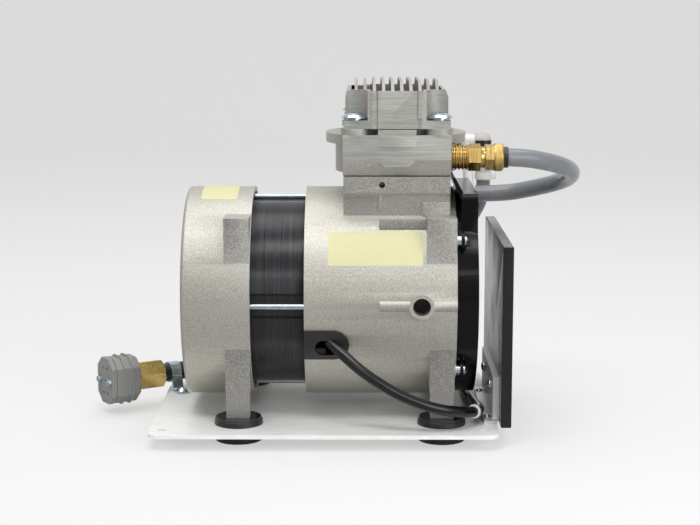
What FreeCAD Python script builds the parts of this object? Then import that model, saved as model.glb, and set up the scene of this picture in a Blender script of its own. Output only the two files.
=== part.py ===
import FreeCAD, Part
import math
import os

# Rocking piston vacuum pump on its base plate. All sizes are in millimetres.
# The origin is the centre of the base plate's four corner holes, on its underside.
# X runs along the motor shaft towards the fan, Y runs away from the front, Z is up.

V = FreeCAD.Vector

# Base plate and its corner holes
plate_length = 264.0
plate_width = 210.0
plate_thickness = 3.0
plate_corner_radius = 9.0
mount_inset_x = 10.0
mount_inset_y = 15.0
mount_hole_radius = 3.5

# Rubber isolators between the plate and the four legs
isolator_radius = 18.7
isolator_upper = 4.2
isolator_lower = 8.3
isolator_neck_radius = 9.0
isolator_play = 0.3
washer_radius = 17.2
washer_thickness = 1.4
foot_ring_thickness = 1.2
foot_ring_bore = 9.5
isolator_bolt_radius = 3.0
isolator_bolt_reach = 14.0
isolator_head_radius = 5.8
isolator_head_height = 4.0
bolt_clearance = 0.15

# Motor shells: the shaft axis stands leg_drop above the foot of the legs
shell_radius = 82.5
shell_wall = 3.9
leg_drop = 86.4
bell_left = -108.0
bell_right = -55.6
bell_end_wall = 5.0
case_left = -14.7
case_right = 100.7
chamber_wall = 8.5
bulkhead_left = 14.0
bulkhead_thickness = 6.0

# Legs and pads cast on the two shells
leg_face_y = 75.6
leg_depth = 14.4
leg_width = 19.0
leg_step = 0.6
leg_step_height = 21.0
bell_leg_x = -65.5
case_leg_x = 90.0
pad_depth = 30.0
pad_top = 67.0
case_pad_width = 22.5

# Stator stack, its notches, coils and through bolts, all set in from the shells
stack_left = -62.0
stack_right = -8.0
stack_inset = 9.3
stack_bore = 41.0
stack_play = 0.1
seat_lip = 4.0
seat_depth = 12.0
shoulder_depth = 3.3
slot_count = 12
slot_width = 8.0
slot_inner = 46.0
slot_inset = 11.2
slot_mouth = 3.0
notch_half_width = 8.0
notch_depth = 2.4
bolt_outset = 1.7
through_bolt_radius = 2.2
through_bolt_head = 4.2
through_bolt_boss = 5.5
coil_inner = 44.0
coil_inset = 10.2
coil_length = 11.0
coil_round = 4.0

# Rotor, shaft, bearings
air_gap = 0.5
shaft_radius = 7.5
shaft_left = -103.0
shaft_right = 114.2
running_gap = 0.05
bearing_radius = 17.5
bearing_width = 11.0
bearing_play = 0.05
rear_bearing_x = -104.0
front_bearing_x = 19.0
hub_wall = 5.0

# Crank: the eccentric throws half of the stroke
crank_throw = 6.0
journal_radius = 17.0
journal_width = 14.0
rod_bearing_radius = 23.5
rod_bearing_width = 11.0
big_end_radius = 29.0
rod_thickness = 10.0
rod_foot_width = 30.0
rod_neck_width = 17.0
rod_web = 4.0
counterweight_radius = 34.0
counterweight_rise = 5.0
counterweight_width = 8.5
counterweight_gap = 1.0

# Piston, its cup and the cylinder
cylinder_x = 55.5
block_width = 82.5
block_depth = 105.0
neck_top = 190.7
neck_inset = 0.5
band_height = 12.0
band_step = 3.0
neck_pad_left = 74.7
neck_pad_low = 157.0
neck_pad_high = 171.3
neck_pad_proud = 1.2
neck_ridge_x = 42.4
neck_ridge_low = 165.0
neck_ridge_radius = 1.7
gasket_thickness = 0.8
block_top = 222.6
bore_radius = 30.0
liner_wall = 1.5
liner_play = 0.1
flange_radius = 54.8
flange_low = 214.2
flange_high = 221.7
barrel_radius = 47.3
chamfer_top = 203.7
chamfer_depth = 6.0
tongue_half_width = 12.9
tongue_foot_half_width = 9.5
tongue_low = 198.5
piston_gap = 0.5
piston_crown_clearance = 4.6
piston_flange_thickness = 5.0
cup_thickness = 1.5
cap_thickness = 4.0
cup_lip_height = 3.0

# Valve plate, reeds and head
valve_plate_thickness = 4.2
head_gasket_thickness = 0.6
reed_thickness = 0.4
reed_gap = 0.06
reed_width = 10.0
reed_length = 36.0
reed_offset = 14.0
reed_root_y = -16.0
valve_hole_radius = 2.6
head_half_width = 39.4
head_half_depth = 45.0
head_flange_half_width = 40.6
head_flange_thickness = 6.2
flange_setback = 1.0
head_height = 28.6
centre_half_width = 22.8
face_half_width = 14.5
column_radius = 4.2
column_setback = 0.3
side_slope = 2.0
screw_x = 32.4
screw_y = 44.0
screw_pocket_radius = 11.0
screw_pad_radius = 10.2
head_screw_radius = 3.0
head_screw_dome = 9.8
head_screw_dome_height = 4.6
lock_washer_thickness = 1.6
lock_washer_radius = 6.5
head_screw_reach = 24.0
fin_count = 10
fin_pitch = 6.9
fin_height = 6.5
fin_thickness = 3.2
fin_tip_thickness = 2.2
fin_slope_length = 15.0
valley_floor = 8.5
valley_wall = 2.6
outer_fin_half_depth = 33.0
centre_fin_limit = 20.0

# Ports and brass fitting on the cylinder block
front_port_y = -36.0
front_port_z = 204.5
rear_port_x = 84.0
rear_port_z = 205.5
port_depth = 7.0
fitting_thread_radius = 9.7
fitting_thread_length = 13.6
fitting_thread_turns = 5
fitting_hex = 10.6
fitting_hex_length = 9.4
fitting_neck_length = 3.4
nut_hex_length = 6.8
nut_knurl_length = 7.2
nut_knurl_radius = 10.4
sleeve_length = 3.6
hose_radius = 7.0
hose_play = 0.12
hose_seat = 7.0

# Rear pipework: pipe, tee, elbow and collar
rear_line_y = 102.0
pipe_radius = 4.6
tee_x = 119.3
tee_radius = 4.4
tee_body_radius = 5.6
tee_body_half_length = 6.0
hose_end_y = 86.0
hose_end_z = 162.0
elbow_x = 132.9
elbow_radius = 6.6
elbow_foot_z = 178.5
collar_radius = 7.3
collar_height = 6.6
collar_tab_reach = 11.0
collar_tab_half_width = 2.2
transfer_radius = 6.0

# Fan and its cowl
fan_left = 103.5
fan_hub_length = 9.0
fan_hub_radius = 13.0
fan_radius = 72.0
fan_blades = 6
fan_chord = 23.0
fan_pitch_angle = 21.0
fan_blade_thickness = 2.0
clip_thickness = 0.8
cowl_left = 101.2
cowl_right = 117.0
cowl_radius = 80.7
cowl_wall = 1.8
grille_bar = 2.4
grille_depth = 1.6
grille_rings = (24.0, 38.0, 52.0, 66.0)
tower_left = 104.5
tower_half_width = 59.0
tower_top = 178.5
guide_left = 98.0
guide_top = 190.4
cowl_ear_y = 70.0
cowl_ear_z = 49.7
cowl_ear_radius = 6.5
spacer_radius = 4.0
cowl_boss_radius = 5.3
cowl_boss_length = 14.0
cowl_screw_radius = 1.9
cowl_screw_head = 3.8

# Crankcase port boss, rib and power lead grommet
boss_x = 73.9
boss_z = 96.5
boss_radius = 9.5
boss_hole_radius = 6.75
boss_proud = 3.0
rib_left = 42.3
rib_half_height = 5.0
rib_proud = 1.9
ledge_left = 42.0
ledge_low = 152.5
ledge_high = 158.5
ledge_y = 60.5
dowel_x = 44.2
dowel_z = 184.8
dowel_radius = 2.3
grommet_right = 19.2
grommet_low = 54.0
grommet_high = 77.7
grommet_proud = 1.8
grommet_play = 0.1
grommet_hole_left = -6.5
grommet_hole_right = 12.4
grommet_hole_low = 57.7
grommet_hole_high = 70.0
lead_radius = 4.2

# Side panel and its bracket
panel_gap = 1.5
panel_thickness = 8.0
panel_front = -92.5
panel_back = 80.2
panel_low = 5.5
panel_high = 143.4
bracket_thickness = 4.6
bracket_front = -73.0
bracket_back = 37.0
bracket_height = 37.0
bracket_corner = 9.0
foot_leg_width = 6.4
foot_leg_thickness = 3.0
panel_screw_y = (-48.5, 13.5)
panel_screw_z = 29.0
panel_screw_radius = 2.0
panel_screw_head = 3.8
foot_screw_inset = 12.0
foot_screw_dome = 2.9
plate_screw_dome = 5.2

# Vent silencer at the left end, on a brass adapter and a rubber coupler
vent_axis_z = 17.6
vent_overhang = 6.0
vent_start_y = 36.0
vent_angle = 33.0
adapter_length = 24.0
adapter_hex = 12.6
adapter_bore = 4.0
silencer_half_across = 14.2
silencer_half_up = 18.5
silencer_corner_across = 6.0
silencer_corner_up = 11.0
silencer_rib = 1.2
silencer_length = 26.0
silencer_hole_radius = 1.3
silencer_screw_offset = 9.0
coupler_radius = 7.4
coupler_length = 26.0
coupler_bore_play = 0.1
clip_band = 1.0
clip_width = 9.0
clip_from_start = 11.0
clip_screw_reach = 17.0
clip_tab_thickness = 1.2

# Power lead behind the pump
coil_middle_radius = 44.0
coil_centre = (40.0, 168.0)
plug_length = 36.0
plug_half_width = 13.0
plug_height = 22.0

# Levels and places that follow from the sizes above
mount_spacing_x = plate_length - 2 * mount_inset_x
mount_spacing_y = plate_width - 2 * mount_inset_y
panel_left = plate_length / 2 + panel_gap
vent_start_x = -plate_length / 2 - vent_overhang
stack_radius = shell_radius - stack_inset
slot_outer = stack_radius - slot_inset
notch_floor = stack_radius - notch_depth
bolt_circle = stack_radius + bolt_outset
coil_outer = stack_radius - coil_inset
leg_foot = plate_thickness + isolator_upper + washer_thickness
axis_z = leg_foot + leg_drop
ground_z = -isolator_lower - foot_ring_thickness
inner_radius = shell_radius - shell_wall
chamber_radius = shell_radius - chamber_wall
bulkhead_right = bulkhead_left + bulkhead_thickness
leg_y = leg_face_y - leg_depth / 2
block_bottom = neck_top + gasket_thickness
plate_top_z = block_top + valve_plate_thickness
head_bottom = plate_top_z + head_gasket_thickness
head_top = head_bottom + head_height
half_block = block_width / 2
half_depth = block_depth / 2
pin_z = axis_z - crank_throw
journal_left = cylinder_x - journal_width / 2
piston_radius = bore_radius - crank_throw - piston_gap
crown_z = block_top - piston_crown_clearance - 2 * crank_throw
vent_dir = V(-math.cos(math.radians(vent_angle)), -math.sin(math.radians(vent_angle)), 0)
vent_start = V(vent_start_x, vent_start_y, vent_axis_z)
coupler_back = vent_start - vent_dir * coupler_length


def box(x0, x1, y0, y1, z0, z1):
    """A box between two corners."""
    return Part.makeBox(x1 - x0, y1 - y0, z1 - z0, V(x0, y0, z0))


def rod_x(radius, x0, x1, y, z):
    """A round bar along X."""
    return Part.makeCylinder(radius, x1 - x0, V(x0, y, z), V(1, 0, 0))


def rod_y(radius, y0, y1, x, z):
    """A round bar along Y."""
    return Part.makeCylinder(radius, y1 - y0, V(x, y0, z), V(0, 1, 0))


def rod_z(radius, z0, z1, x, y):
    """A round bar along Z."""
    return Part.makeCylinder(radius, z1 - z0, V(x, y, z0), V(0, 0, 1))


def rod_along(radius, start, direction, length):
    """A round bar from a point along any direction."""
    return Part.makeCylinder(radius, length, start, direction)


def prism(points, travel):
    """A flat outline carried along a vector."""
    return Part.Face(Part.makePolygon(points + [points[0]])).extrude(travel)


def hex_bar(across_corners, start, direction, length, turn=0.0):
    """A hexagonal bar of the given corner radius along any direction."""
    axis = V(direction)
    axis.normalize()
    side = axis.cross(V(0, 0, 1)) if abs(axis.z) < 0.9 else V(1, 0, 0)
    side.normalize()
    up = axis.cross(side)
    corners = []
    for step in range(6):
        angle = math.radians(60 * step + turn)
        corners.append(start + side * across_corners * math.cos(angle) + up * across_corners * math.sin(angle))
    return prism(corners, axis * length)


def turned(profile, base, axis):
    """A closed outline of (distance along the axis, radius) points turned about the axis."""
    direction = V(axis)
    direction.normalize()
    side = direction.cross(V(0, 0, 1)) if abs(direction.z) < 0.9 else V(1, 0, 0)
    side.normalize()
    points = [base + direction * along + side * radius for along, radius in profile]
    face = Part.Face(Part.makePolygon(points + [points[0]]))
    return face.revolve(base, direction, 360)


def tube_x(outer, inner, x0, x1, y, z):
    """A plain ring along X."""
    return rod_x(outer, x0, x1, y, z).cut(rod_x(inner, x0 - 1, x1 + 1, y, z))


def fused(shapes):
    """One solid from several, with neighbouring faces of one surface joined."""
    return shapes[0].fuse(shapes[1:]).removeSplitter()


def cut_all(shape, tools):
    """The shape less each tool."""
    for tool in tools:
        shape = shape.cut(tool)
    return shape


def mirrored_y(shapes):
    """The shapes and their mirror images across the shaft's upright plane."""
    return shapes + [shape.mirror(V(0, 0, 0), V(0, 1, 0)) for shape in shapes]


def save(name, shape):
    """Writes one node, alone or as a group of separate solids."""
    if isinstance(shape, list):
        shape = Part.makeCompound(shape)
    shape.exportStep("parts/" + name + ".step")


def smooth_route(name, points, radius):
    """A tube of straight runs joined by tangent arcs along a list of points."""
    edges = []
    radii = []
    last = points[0]
    for before, corner, after in zip(points, points[1:], points[2:]):
        into = corner - before
        out = after - corner
        run = min(into.Length, out.Length)
        into.normalize()
        out.normalize()
        turn = into.getAngle(out)
        reach = 0.45 * run
        arc_radius = reach / math.tan(turn / 2)
        start = corner - into * reach
        end = corner + out * reach
        to_centre = out - into
        to_centre.normalize()
        centre = corner + to_centre * (arc_radius / math.cos(turn / 2))
        to_corner = corner - centre
        to_corner.normalize()
        middle = centre + to_corner * arc_radius
        edges.append(Part.LineSegment(last, start).toShape())
        edges.append(Part.Arc(start, middle, end).toShape())
        radii.append(round(arc_radius, 1))
        last = end
    edges.append(Part.LineSegment(last, points[-1]).toShape())
    path = Part.Wire(edges)
    first = points[1] - points[0]
    circle = Part.Wire(Part.makeCircle(radius, points[0], first))
    tube = path.makePipeShell([circle], True, False)
    expected = math.pi * radius * radius * path.Length
    print(name, "length", round(path.Length, 1), "radii", radii, "volume ratio", round(tube.Volume / expected, 4))
    return tube


def leg_places():
    """The centre of each of the four legs."""
    return [(x, y) for x in (bell_leg_x, case_leg_x) for y in (-leg_y, leg_y)]


def bolt_angles():
    """The four through bolts stand at the top, front, foot and back of the stack."""
    return [math.radians(90 * step) for step in range(4)]


def around_axis(radius, angle):
    """Y and Z of a point on a circle about the shaft."""
    return radius * math.cos(angle), axis_z + radius * math.sin(angle)


def make_base_plate():
    """The flat plate with rounded corners, corner holes and the holes for what stands on it."""
    half_x = plate_length / 2
    half_y = plate_width / 2
    plate = box(-half_x, half_x, -half_y, half_y, 0, plate_thickness)
    upright = [edge for edge in plate.Edges if abs(edge.tangentAt(0).z) > 0.9]
    plate = plate.makeFillet(plate_corner_radius, upright)
    tools = []
    for x in (-mount_spacing_x / 2, mount_spacing_x / 2):
        for y in (-mount_spacing_y / 2, mount_spacing_y / 2):
            tools.append(rod_z(mount_hole_radius, -1, plate_thickness + 1, x, y))
    for x, y in leg_places():
        tools.append(rod_z(isolator_neck_radius + isolator_play, -1, plate_thickness + 1, x, y))
    for x, y in foot_screw_places():
        tools.append(rod_z(panel_screw_radius + bolt_clearance, -1, plate_thickness + 1, x, y))
    clip = clip_screw_place()
    tools.append(rod_z(panel_screw_radius + bolt_clearance, -1, plate_thickness + 1, clip.x, clip.y))
    return cut_all(plate, tools)


def make_isolator(x, y):
    """One rubber spool: a disc above the plate, a neck through it and a thicker disc below."""
    head_room = isolator_head_height + 1.5
    profile = [
        (-isolator_lower, foot_ring_bore - 0.7),
        (-isolator_lower, isolator_radius),
        (0, isolator_radius),
        (0, isolator_neck_radius),
        (plate_thickness, isolator_neck_radius),
        (plate_thickness, isolator_radius),
        (plate_thickness + isolator_upper, isolator_radius - 0.6),
        (plate_thickness + isolator_upper, isolator_bolt_radius + bolt_clearance),
        (-isolator_lower + head_room, isolator_bolt_radius + bolt_clearance),
        (-isolator_lower + head_room, foot_ring_bore - 0.7),
    ]
    return turned(profile, V(x, y, 0), V(0, 0, 1))


def make_isolator_washers(x, y):
    """The steel washer under the leg and the steel ring that the isolator stands on."""
    upper = rod_z(washer_radius, leg_foot - washer_thickness, leg_foot, x, y)
    upper = upper.cut(rod_z(isolator_bolt_radius + bolt_clearance, 0, leg_foot + 1, x, y))
    lower = rod_z(washer_radius + 0.6, ground_z, -isolator_lower, x, y)
    lower = lower.cut(rod_z(foot_ring_bore, ground_z - 1, 0, x, y))
    return [upper, lower]


def make_isolator_bolt(x, y):
    """The bolt from below, its head held inside the isolator."""
    head_low = -isolator_lower + 1.5
    head = hex_bar(isolator_head_radius, V(x, y, head_low), V(0, 0, 1), isolator_head_height)
    shank = rod_z(isolator_bolt_radius, head_low, leg_foot + isolator_bolt_reach, x, y)
    return fused([head, shank])


def leg_and_pad(x, leg_wide, pad_wide, pad_x, cavity_radius):
    """A leg below and a pad above, on the front of a shell, cut back from its hollow."""
    half = leg_wide / 2
    step_z = leg_foot + leg_step_height
    upper_leg = box(x - half, x + half, -leg_face_y, -leg_face_y + leg_depth, step_z, axis_z)
    foot = box(x - half + leg_step, x + half - leg_step, -leg_face_y + leg_step / 2, -leg_face_y + leg_depth, leg_foot, step_z)
    pad = box(pad_x - pad_wide / 2, pad_x + pad_wide / 2, -leg_face_y, -leg_face_y + pad_depth, axis_z, axis_z + pad_top)
    cavity = rod_x(cavity_radius + 1, pad_x - 60, pad_x + 60, 0, axis_z)
    hole = rod_z(isolator_bolt_radius + bolt_clearance, leg_foot - 1, leg_foot + isolator_bolt_reach + 2, x, -leg_y)
    return fused([upper_leg, foot, pad]).cut(cavity).cut(hole)


def stack_seat(x_mouth, into):
    """The ring inside a shell that centres the stack and the shoulder that it stops on."""
    x_seat = x_mouth + into * seat_lip
    x_back = x_seat + into * seat_depth
    x_stop = stack_left if into < 0 else stack_right
    low, high = sorted((x_seat, x_back))
    ring = tube_x(inner_radius + 1, stack_radius + stack_play, low, high, 0, axis_z)
    low, high = sorted((x_stop, x_back))
    shoulder = tube_x(inner_radius + 1, stack_radius - shoulder_depth, low, high, 0, axis_z)
    return ring.fuse(shoulder)


def make_end_bell():
    """The cast shell at the left: a cup with a bearing hub, air slots, two legs and two pads."""
    outer = rod_x(shell_radius, bell_left, bell_right, 0, axis_z)
    rim = [edge for edge in outer.Edges if abs(edge.BoundBox.XMax - bell_left) < 0.1]
    outer = outer.makeFillet(3.0, rim)
    hollow = rod_x(inner_radius, bell_left + bell_end_wall, bell_right + 1, 0, axis_z)
    hub_right = rear_bearing_x + bearing_width
    hub = rod_x(bearing_radius + hub_wall, bell_left, hub_right, 0, axis_z)
    pieces = [outer.cut(hollow), hub, stack_seat(bell_right, -1)]
    pieces += mirrored_y([leg_and_pad(bell_leg_x, leg_width, leg_width, bell_leg_x, inner_radius)])
    for angle in bolt_angles():
        y, z = around_axis(bolt_circle, angle)
        pieces.append(rod_x(through_bolt_boss, bell_left + 1, stack_left - seat_lip, y, z))
    bell = fused(pieces)
    tools = [rod_x(bearing_radius + bearing_play, rear_bearing_x, hub_right + 1, 0, axis_z)]
    for angle in bolt_angles():
        y, z = around_axis(bolt_circle, angle)
        tools.append(rod_x(through_bolt_radius + bolt_clearance, bell_left - 1, bell_right + 1, y, z))
        tools.append(rod_x(through_bolt_head + 0.6, bell_left - 1, bell_left + bell_end_wall, y, z))
    for step in range(12):
        slot = box(bell_left - 1, bell_left + bell_end_wall + 1, -2.6, 2.6, axis_z + 30, axis_z + 60)
        slot.rotate(V(0, 0, axis_z), V(1, 0, 0), 30 * step + 15)
        tools.append(slot)
    return cut_all(bell, tools)


def make_stator_core():
    """The laminated stack, slotted for the coils and notched for the through bolts."""
    core = tube_x(stack_radius, stack_bore, stack_left, stack_right, 0, axis_z)
    tools = []
    for step in range(slot_count):
        half = slot_width / 2
        slot = box(stack_left - 1, stack_right + 1, -half, half, axis_z + slot_inner, axis_z + slot_outer)
        mouth = box(stack_left - 1, stack_right + 1, -slot_mouth / 2, slot_mouth / 2, axis_z, axis_z + slot_inner + 1)
        cutter = slot.fuse(mouth)
        cutter.rotate(V(0, 0, axis_z), V(1, 0, 0), 360.0 * step / slot_count + 15)
        tools.append(cutter)
    for step in range(4):
        high = axis_z + stack_radius + 1
        notch = box(stack_left - 1, stack_right + 1, -notch_half_width, notch_half_width, axis_z + notch_floor, high)
        notch.rotate(V(0, 0, axis_z), V(1, 0, 0), 90 * step)
        tools.append(notch)
    return cut_all(core, tools)


def make_coil_end(x_face, into):
    """The rounded ring of copper turns at one end of the stack."""
    low, high = sorted((x_face, x_face + into * coil_length))
    ring = tube_x(coil_outer, coil_inner, low, high, 0, axis_z)
    far = x_face + into * coil_length
    edges = [edge for edge in ring.Edges if abs(edge.BoundBox.Center.x - far) < 0.1 and edge.BoundBox.XLength < 0.1]
    return ring.makeFillet(coil_round, edges)


def make_through_bolt(angle):
    """One long bolt from the end bell, past the stack, into the crankcase."""
    y, z = around_axis(bolt_circle, angle)
    head = hex_bar(through_bolt_head, V(bell_left + bell_end_wall - 4, y, z), V(1, 0, 0), 4)
    shank = rod_x(through_bolt_radius, bell_left + bell_end_wall - 1, bulkhead_left - 2, y, z)
    return fused([head, shank])


def make_crankcase():
    """The cast housing at the right: motor mouth, bearing bulkhead, crank chamber and neck."""
    shell = rod_x(shell_radius, case_left, case_right, 0, axis_z)
    neck_half = half_block - neck_inset
    neck_low = axis_z + 55
    band_low = neck_top - band_height
    neck = box(cylinder_x - neck_half, cylinder_x + neck_half, band_step - half_depth, half_depth - band_step, neck_low, neck_top)
    band = box(cylinder_x - neck_half, cylinder_x + neck_half, -half_depth, half_depth, band_low, neck_top)
    underside = prism(
        [V(0, -half_depth, band_low), V(0, band_step - half_depth, band_low - band_step), V(0, band_step - half_depth, band_low)],
        V(2 * neck_half, 0, 0),
    )
    underside.translate(V(cylinder_x - neck_half, 0, 0))
    pieces = [shell, neck, band] + mirrored_y([underside])
    pad_front = band_step - half_depth - neck_pad_proud
    pieces.append(box(neck_pad_left, cylinder_x + neck_half, pad_front, pad_front + 8, neck_pad_low, neck_pad_high))
    pieces.append(rod_z(neck_ridge_radius, neck_ridge_low, band_low, neck_ridge_x, band_step - half_depth + 0.4))
    pad_x = case_right - case_pad_width / 2 - 0.4
    pieces += mirrored_y([leg_and_pad(case_leg_x, leg_width, case_pad_width, pad_x, chamber_radius)])
    pieces.append(rod_x(rib_half_height, rib_left, case_right, rib_half_height - shell_radius - rib_proud, boss_z))
    pieces.append(rod_y(boss_radius, -shell_radius - boss_proud, -chamber_radius, boss_x, boss_z))
    pieces.append(box(ledge_left, case_leg_x, -ledge_y, ledge_y, ledge_low, ledge_high))
    for y, z in cowl_screw_places():
        pieces.append(rod_x(cowl_boss_radius, case_right - cowl_boss_length, case_right, y, z))
    case = fused(pieces)
    mouth = rod_x(inner_radius, case_left - 1, bulkhead_left, 0, axis_z)
    chamber = rod_x(chamber_radius, bulkhead_right, case_right + 1, 0, axis_z)
    case = cut_all(case, [mouth, chamber])
    hub_right = front_bearing_x + bearing_width
    inside = [rod_x(bearing_radius + hub_wall, bulkhead_left, hub_right, 0, axis_z), stack_seat(case_left, 1)]
    for angle in bolt_angles():
        y, z = around_axis(bolt_circle, angle)
        inside.append(rod_x(through_bolt_boss, stack_right + seat_lip, bulkhead_left + 1, y, z))
    case = fused([case] + inside)
    tools = [rod_x(bearing_radius + bearing_play, front_bearing_x, hub_right + 1, 0, axis_z)]
    tools.append(rod_x(shaft_radius + 1.5, bulkhead_left - 1, hub_right, 0, axis_z))
    for angle in bolt_angles():
        y, z = around_axis(bolt_circle, angle)
        tools.append(rod_x(through_bolt_radius + bolt_clearance, case_left - 1, bulkhead_left - 1, y, z))
    for step in range(6):
        y, z = around_axis(50.0, math.radians(60 * step + 30))
        tools.append(rod_x(9.0, bulkhead_left - 1, bulkhead_right + 1, y, z))
    tools.append(rod_z(bore_radius + liner_wall + 1, axis_z, neck_top + 1, cylinder_x, 0))
    tools.append(rod_y(boss_hole_radius, -shell_radius - boss_proud - 1, -chamber_radius + 3, boss_x, boss_z))
    tools.append(rod_y(dowel_radius, -half_depth - 1, -half_depth + 12, dowel_x, dowel_z))
    tools.append(grommet_outline(grommet_play))
    for y, z in cowl_screw_places():
        tools.append(rod_x(cowl_screw_radius + bolt_clearance, case_right - 10, case_right + 1, y, z))
    return cut_all(case, tools)


def grommet_outline(play):
    """The notch in the housing's rim: straight on the left, round on the right."""
    radius = (grommet_high - grommet_low) / 2 + play
    middle = (grommet_high + grommet_low) / 2
    centre_x = grommet_right - (grommet_high - grommet_low) / 2
    low_y = -shell_radius - grommet_proud - 2
    high_y = low_y + 26
    straight = box(case_left - 1, centre_x, low_y, high_y, middle - radius, middle + radius)
    return straight.fuse(rod_y(radius, low_y, high_y, centre_x, middle))


def make_grommet():
    """The rubber block that fills the notch and holds the power lead."""
    skin = tube_x(shell_radius + grommet_proud, inner_radius + 0.2, case_left, grommet_right + 1, 0, axis_z)
    block = skin.common(grommet_outline(0))
    bore = rod_along(lead_radius + grommet_play, lead_points()[0] - lead_direction() * 20, lead_direction(), 50)
    return block.cut(grommet_slot()).cut(bore)


def grommet_slot():
    """The level oval hole in the grommet, which the lead leaves from its right half."""
    radius = (grommet_hole_high - grommet_hole_low) / 2
    middle = (grommet_hole_high + grommet_hole_low) / 2
    low_y = -shell_radius - grommet_proud - 2
    left = grommet_hole_left + radius
    right = grommet_hole_right - radius
    ends = [rod_y(radius, low_y, low_y + 30, x, middle) for x in (left, right)]
    return fused(ends + [box(left, right, low_y, low_y + 30, grommet_hole_low, grommet_hole_high)])


def lead_direction():
    """The way in which the power lead leaves the grommet."""
    direction = lead_points()[1] - lead_points()[0]
    direction.normalize()
    return direction


def lead_points():
    """The power lead: out of the grommet, along the housing, round the right leg, back and down."""
    return [
        V(4.5, -77.0, 68.0),
        V(12.8, -85.3, 62.6),
        V(22.0, -91.6, 54.7),
        V(32.3, -95.2, 47.1),
        V(43.2, -97.0, 40.1),
        V(54.7, -97.8, 33.3),
        V(67.0, -98.2, 27.8),
        V(81.5, -98.0, 22.6),
        V(95.2, -93.8, 18.8),
        V(106.8, -85.6, 16.0),
        V(115.2, -74.0, 13.6),
        V(119.8, -60.5, 11.3),
        V(120.0, -45.0, 9.8),
        V(118.4, -29.0, 8.6),
        V(116.4, -11.0, 7.7),
        V(115.0, 9.0, 7.5),
        V(114.5, 33.0, 7.6),
        V(115.0, 58.0, 7.7),
        V(114.0, 84.0, 8.6),
        V(110.5, 104.0, 8.8),
        V(104.5, 121.5, 4.0),
        V(96.5, 137.5, -2.0),
        V(89.0, 153.0, -5.2),
        V(84.6, 168.0, -5.3),
    ]


def coil_outer_radius():
    """The outer radius of the coiled lead."""
    return coil_middle_radius + 2.2 * lead_radius


def make_lead_coil():
    """The outer shape of the coiled length of lead that lies behind the pump."""
    x, y = coil_centre
    inner = coil_middle_radius - 2.2 * lead_radius
    ring = rod_z(coil_outer_radius(), ground_z, ground_z + 6.6 * lead_radius, x, y)
    return ring.cut(rod_z(inner, ground_z - 1, ground_z + 40, x, y))


def make_plug():
    """The mains plug at the end of the lead, with the short run of lead that joins it to the coil."""
    y = coil_centre[1] + coil_middle_radius
    back = coil_centre[0] - coil_middle_radius - 2
    front = back - plug_length
    top = ground_z + plug_height
    middle = ground_z + plug_height / 2
    body = box(front, back, y - plug_half_width, y + plug_half_width, ground_z, top)
    body = body.makeFillet(4.0, [edge for edge in body.Edges if abs(edge.tangentAt(0).x) > 0.9])
    stub = rod_x(lead_radius, back - 1, coil_centre[0], y, middle)
    stub = stub.cut(rod_z(coil_outer_radius(), ground_z - 1, ground_z + 60, *coil_centre))
    pins = [rod_x(2.0, front - 19, front + 1, y + side, middle) for side in (-6.35, 6.35)]
    return fused([body, stub] + pins)


def make_bearing(x):
    """A shielded ball bearing with its grooved faces."""
    ring = tube_x(bearing_radius, shaft_radius + running_gap, x, x + bearing_width, 0, axis_z)
    inner_groove = shaft_radius + 3.0
    outer_groove = bearing_radius - 2.5
    for face in (x - 1, x + bearing_width - 0.6):
        ring = ring.cut(tube_x(outer_groove, inner_groove, face, face + 1.6, 0, axis_z))
    return ring


def make_rotor_core():
    """The rotor's stack with an end ring each side."""
    body_radius = stack_bore - air_gap
    core = rod_x(body_radius, stack_left + 1, stack_right - 1, 0, axis_z)
    rings = []
    for x in (stack_left - 4, stack_right - 1):
        rings.append(tube_x(body_radius - 2, body_radius - 14, x, x + 5, 0, axis_z))
    return fused([core] + rings).cut(rod_x(shaft_radius + 0.02, stack_left - 9, stack_right + 9, 0, axis_z))


def make_shaft():
    """The stepped motor shaft with a flat where the eccentric is clamped."""
    end_radius = 5.0
    body = rod_x(shaft_radius, shaft_left, fan_left, 0, axis_z)
    end = rod_x(end_radius, fan_left - 1, shaft_right, 0, axis_z)
    groove = tube_x(end_radius + 1, end_radius - 0.8, fan_left + fan_hub_length, fan_left + fan_hub_length + clip_thickness, 0, axis_z)
    flat = box(journal_left - 16, journal_left - 2, -10, 10, axis_z + shaft_radius - 0.8, axis_z + 20)
    return fused([body, end]).cut(groove).cut(flat)


def make_eccentric():
    """The journal that carries the rod, with a half-round counterweight opposite the throw."""
    journal = rod_x(journal_radius, journal_left, journal_left + journal_width, 0, pin_z)
    weight_right = journal_left - counterweight_gap
    weight_left = weight_right - counterweight_width
    hub = rod_x(journal_radius - 2, weight_left, journal_left + 1, 0, axis_z)
    disc = rod_x(counterweight_radius, weight_left, weight_right, 0, axis_z)
    upper = box(
        weight_left, weight_right, -counterweight_radius, counterweight_radius,
        axis_z + counterweight_rise, axis_z + 50,
    )
    ends = [rod_x(3.0, weight_left - 1, weight_right + 1, side * 26, axis_z + 11) for side in (-1, 1)]
    weight = cut_all(disc.common(upper), ends)
    tools = [rod_x(shaft_radius + 0.02, weight_left - 1, journal_left + journal_width + 1, 0, axis_z)]
    tools.append(rod_z(2.1, axis_z, axis_z + 60, weight_left + counterweight_width / 2, 0))
    return cut_all(fused([journal, hub, weight]), tools)


def make_eccentric_screw():
    """The set screw that clamps the eccentric to the shaft's flat."""
    x = journal_left - counterweight_gap - counterweight_width / 2
    screw = rod_z(2.0, axis_z + shaft_radius - 0.8, axis_z + shaft_radius + 9, x, 0)
    socket = hex_bar(1.1, V(x, 0, axis_z + shaft_radius + 7), V(0, 0, 1), 3)
    return screw.cut(socket)


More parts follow.
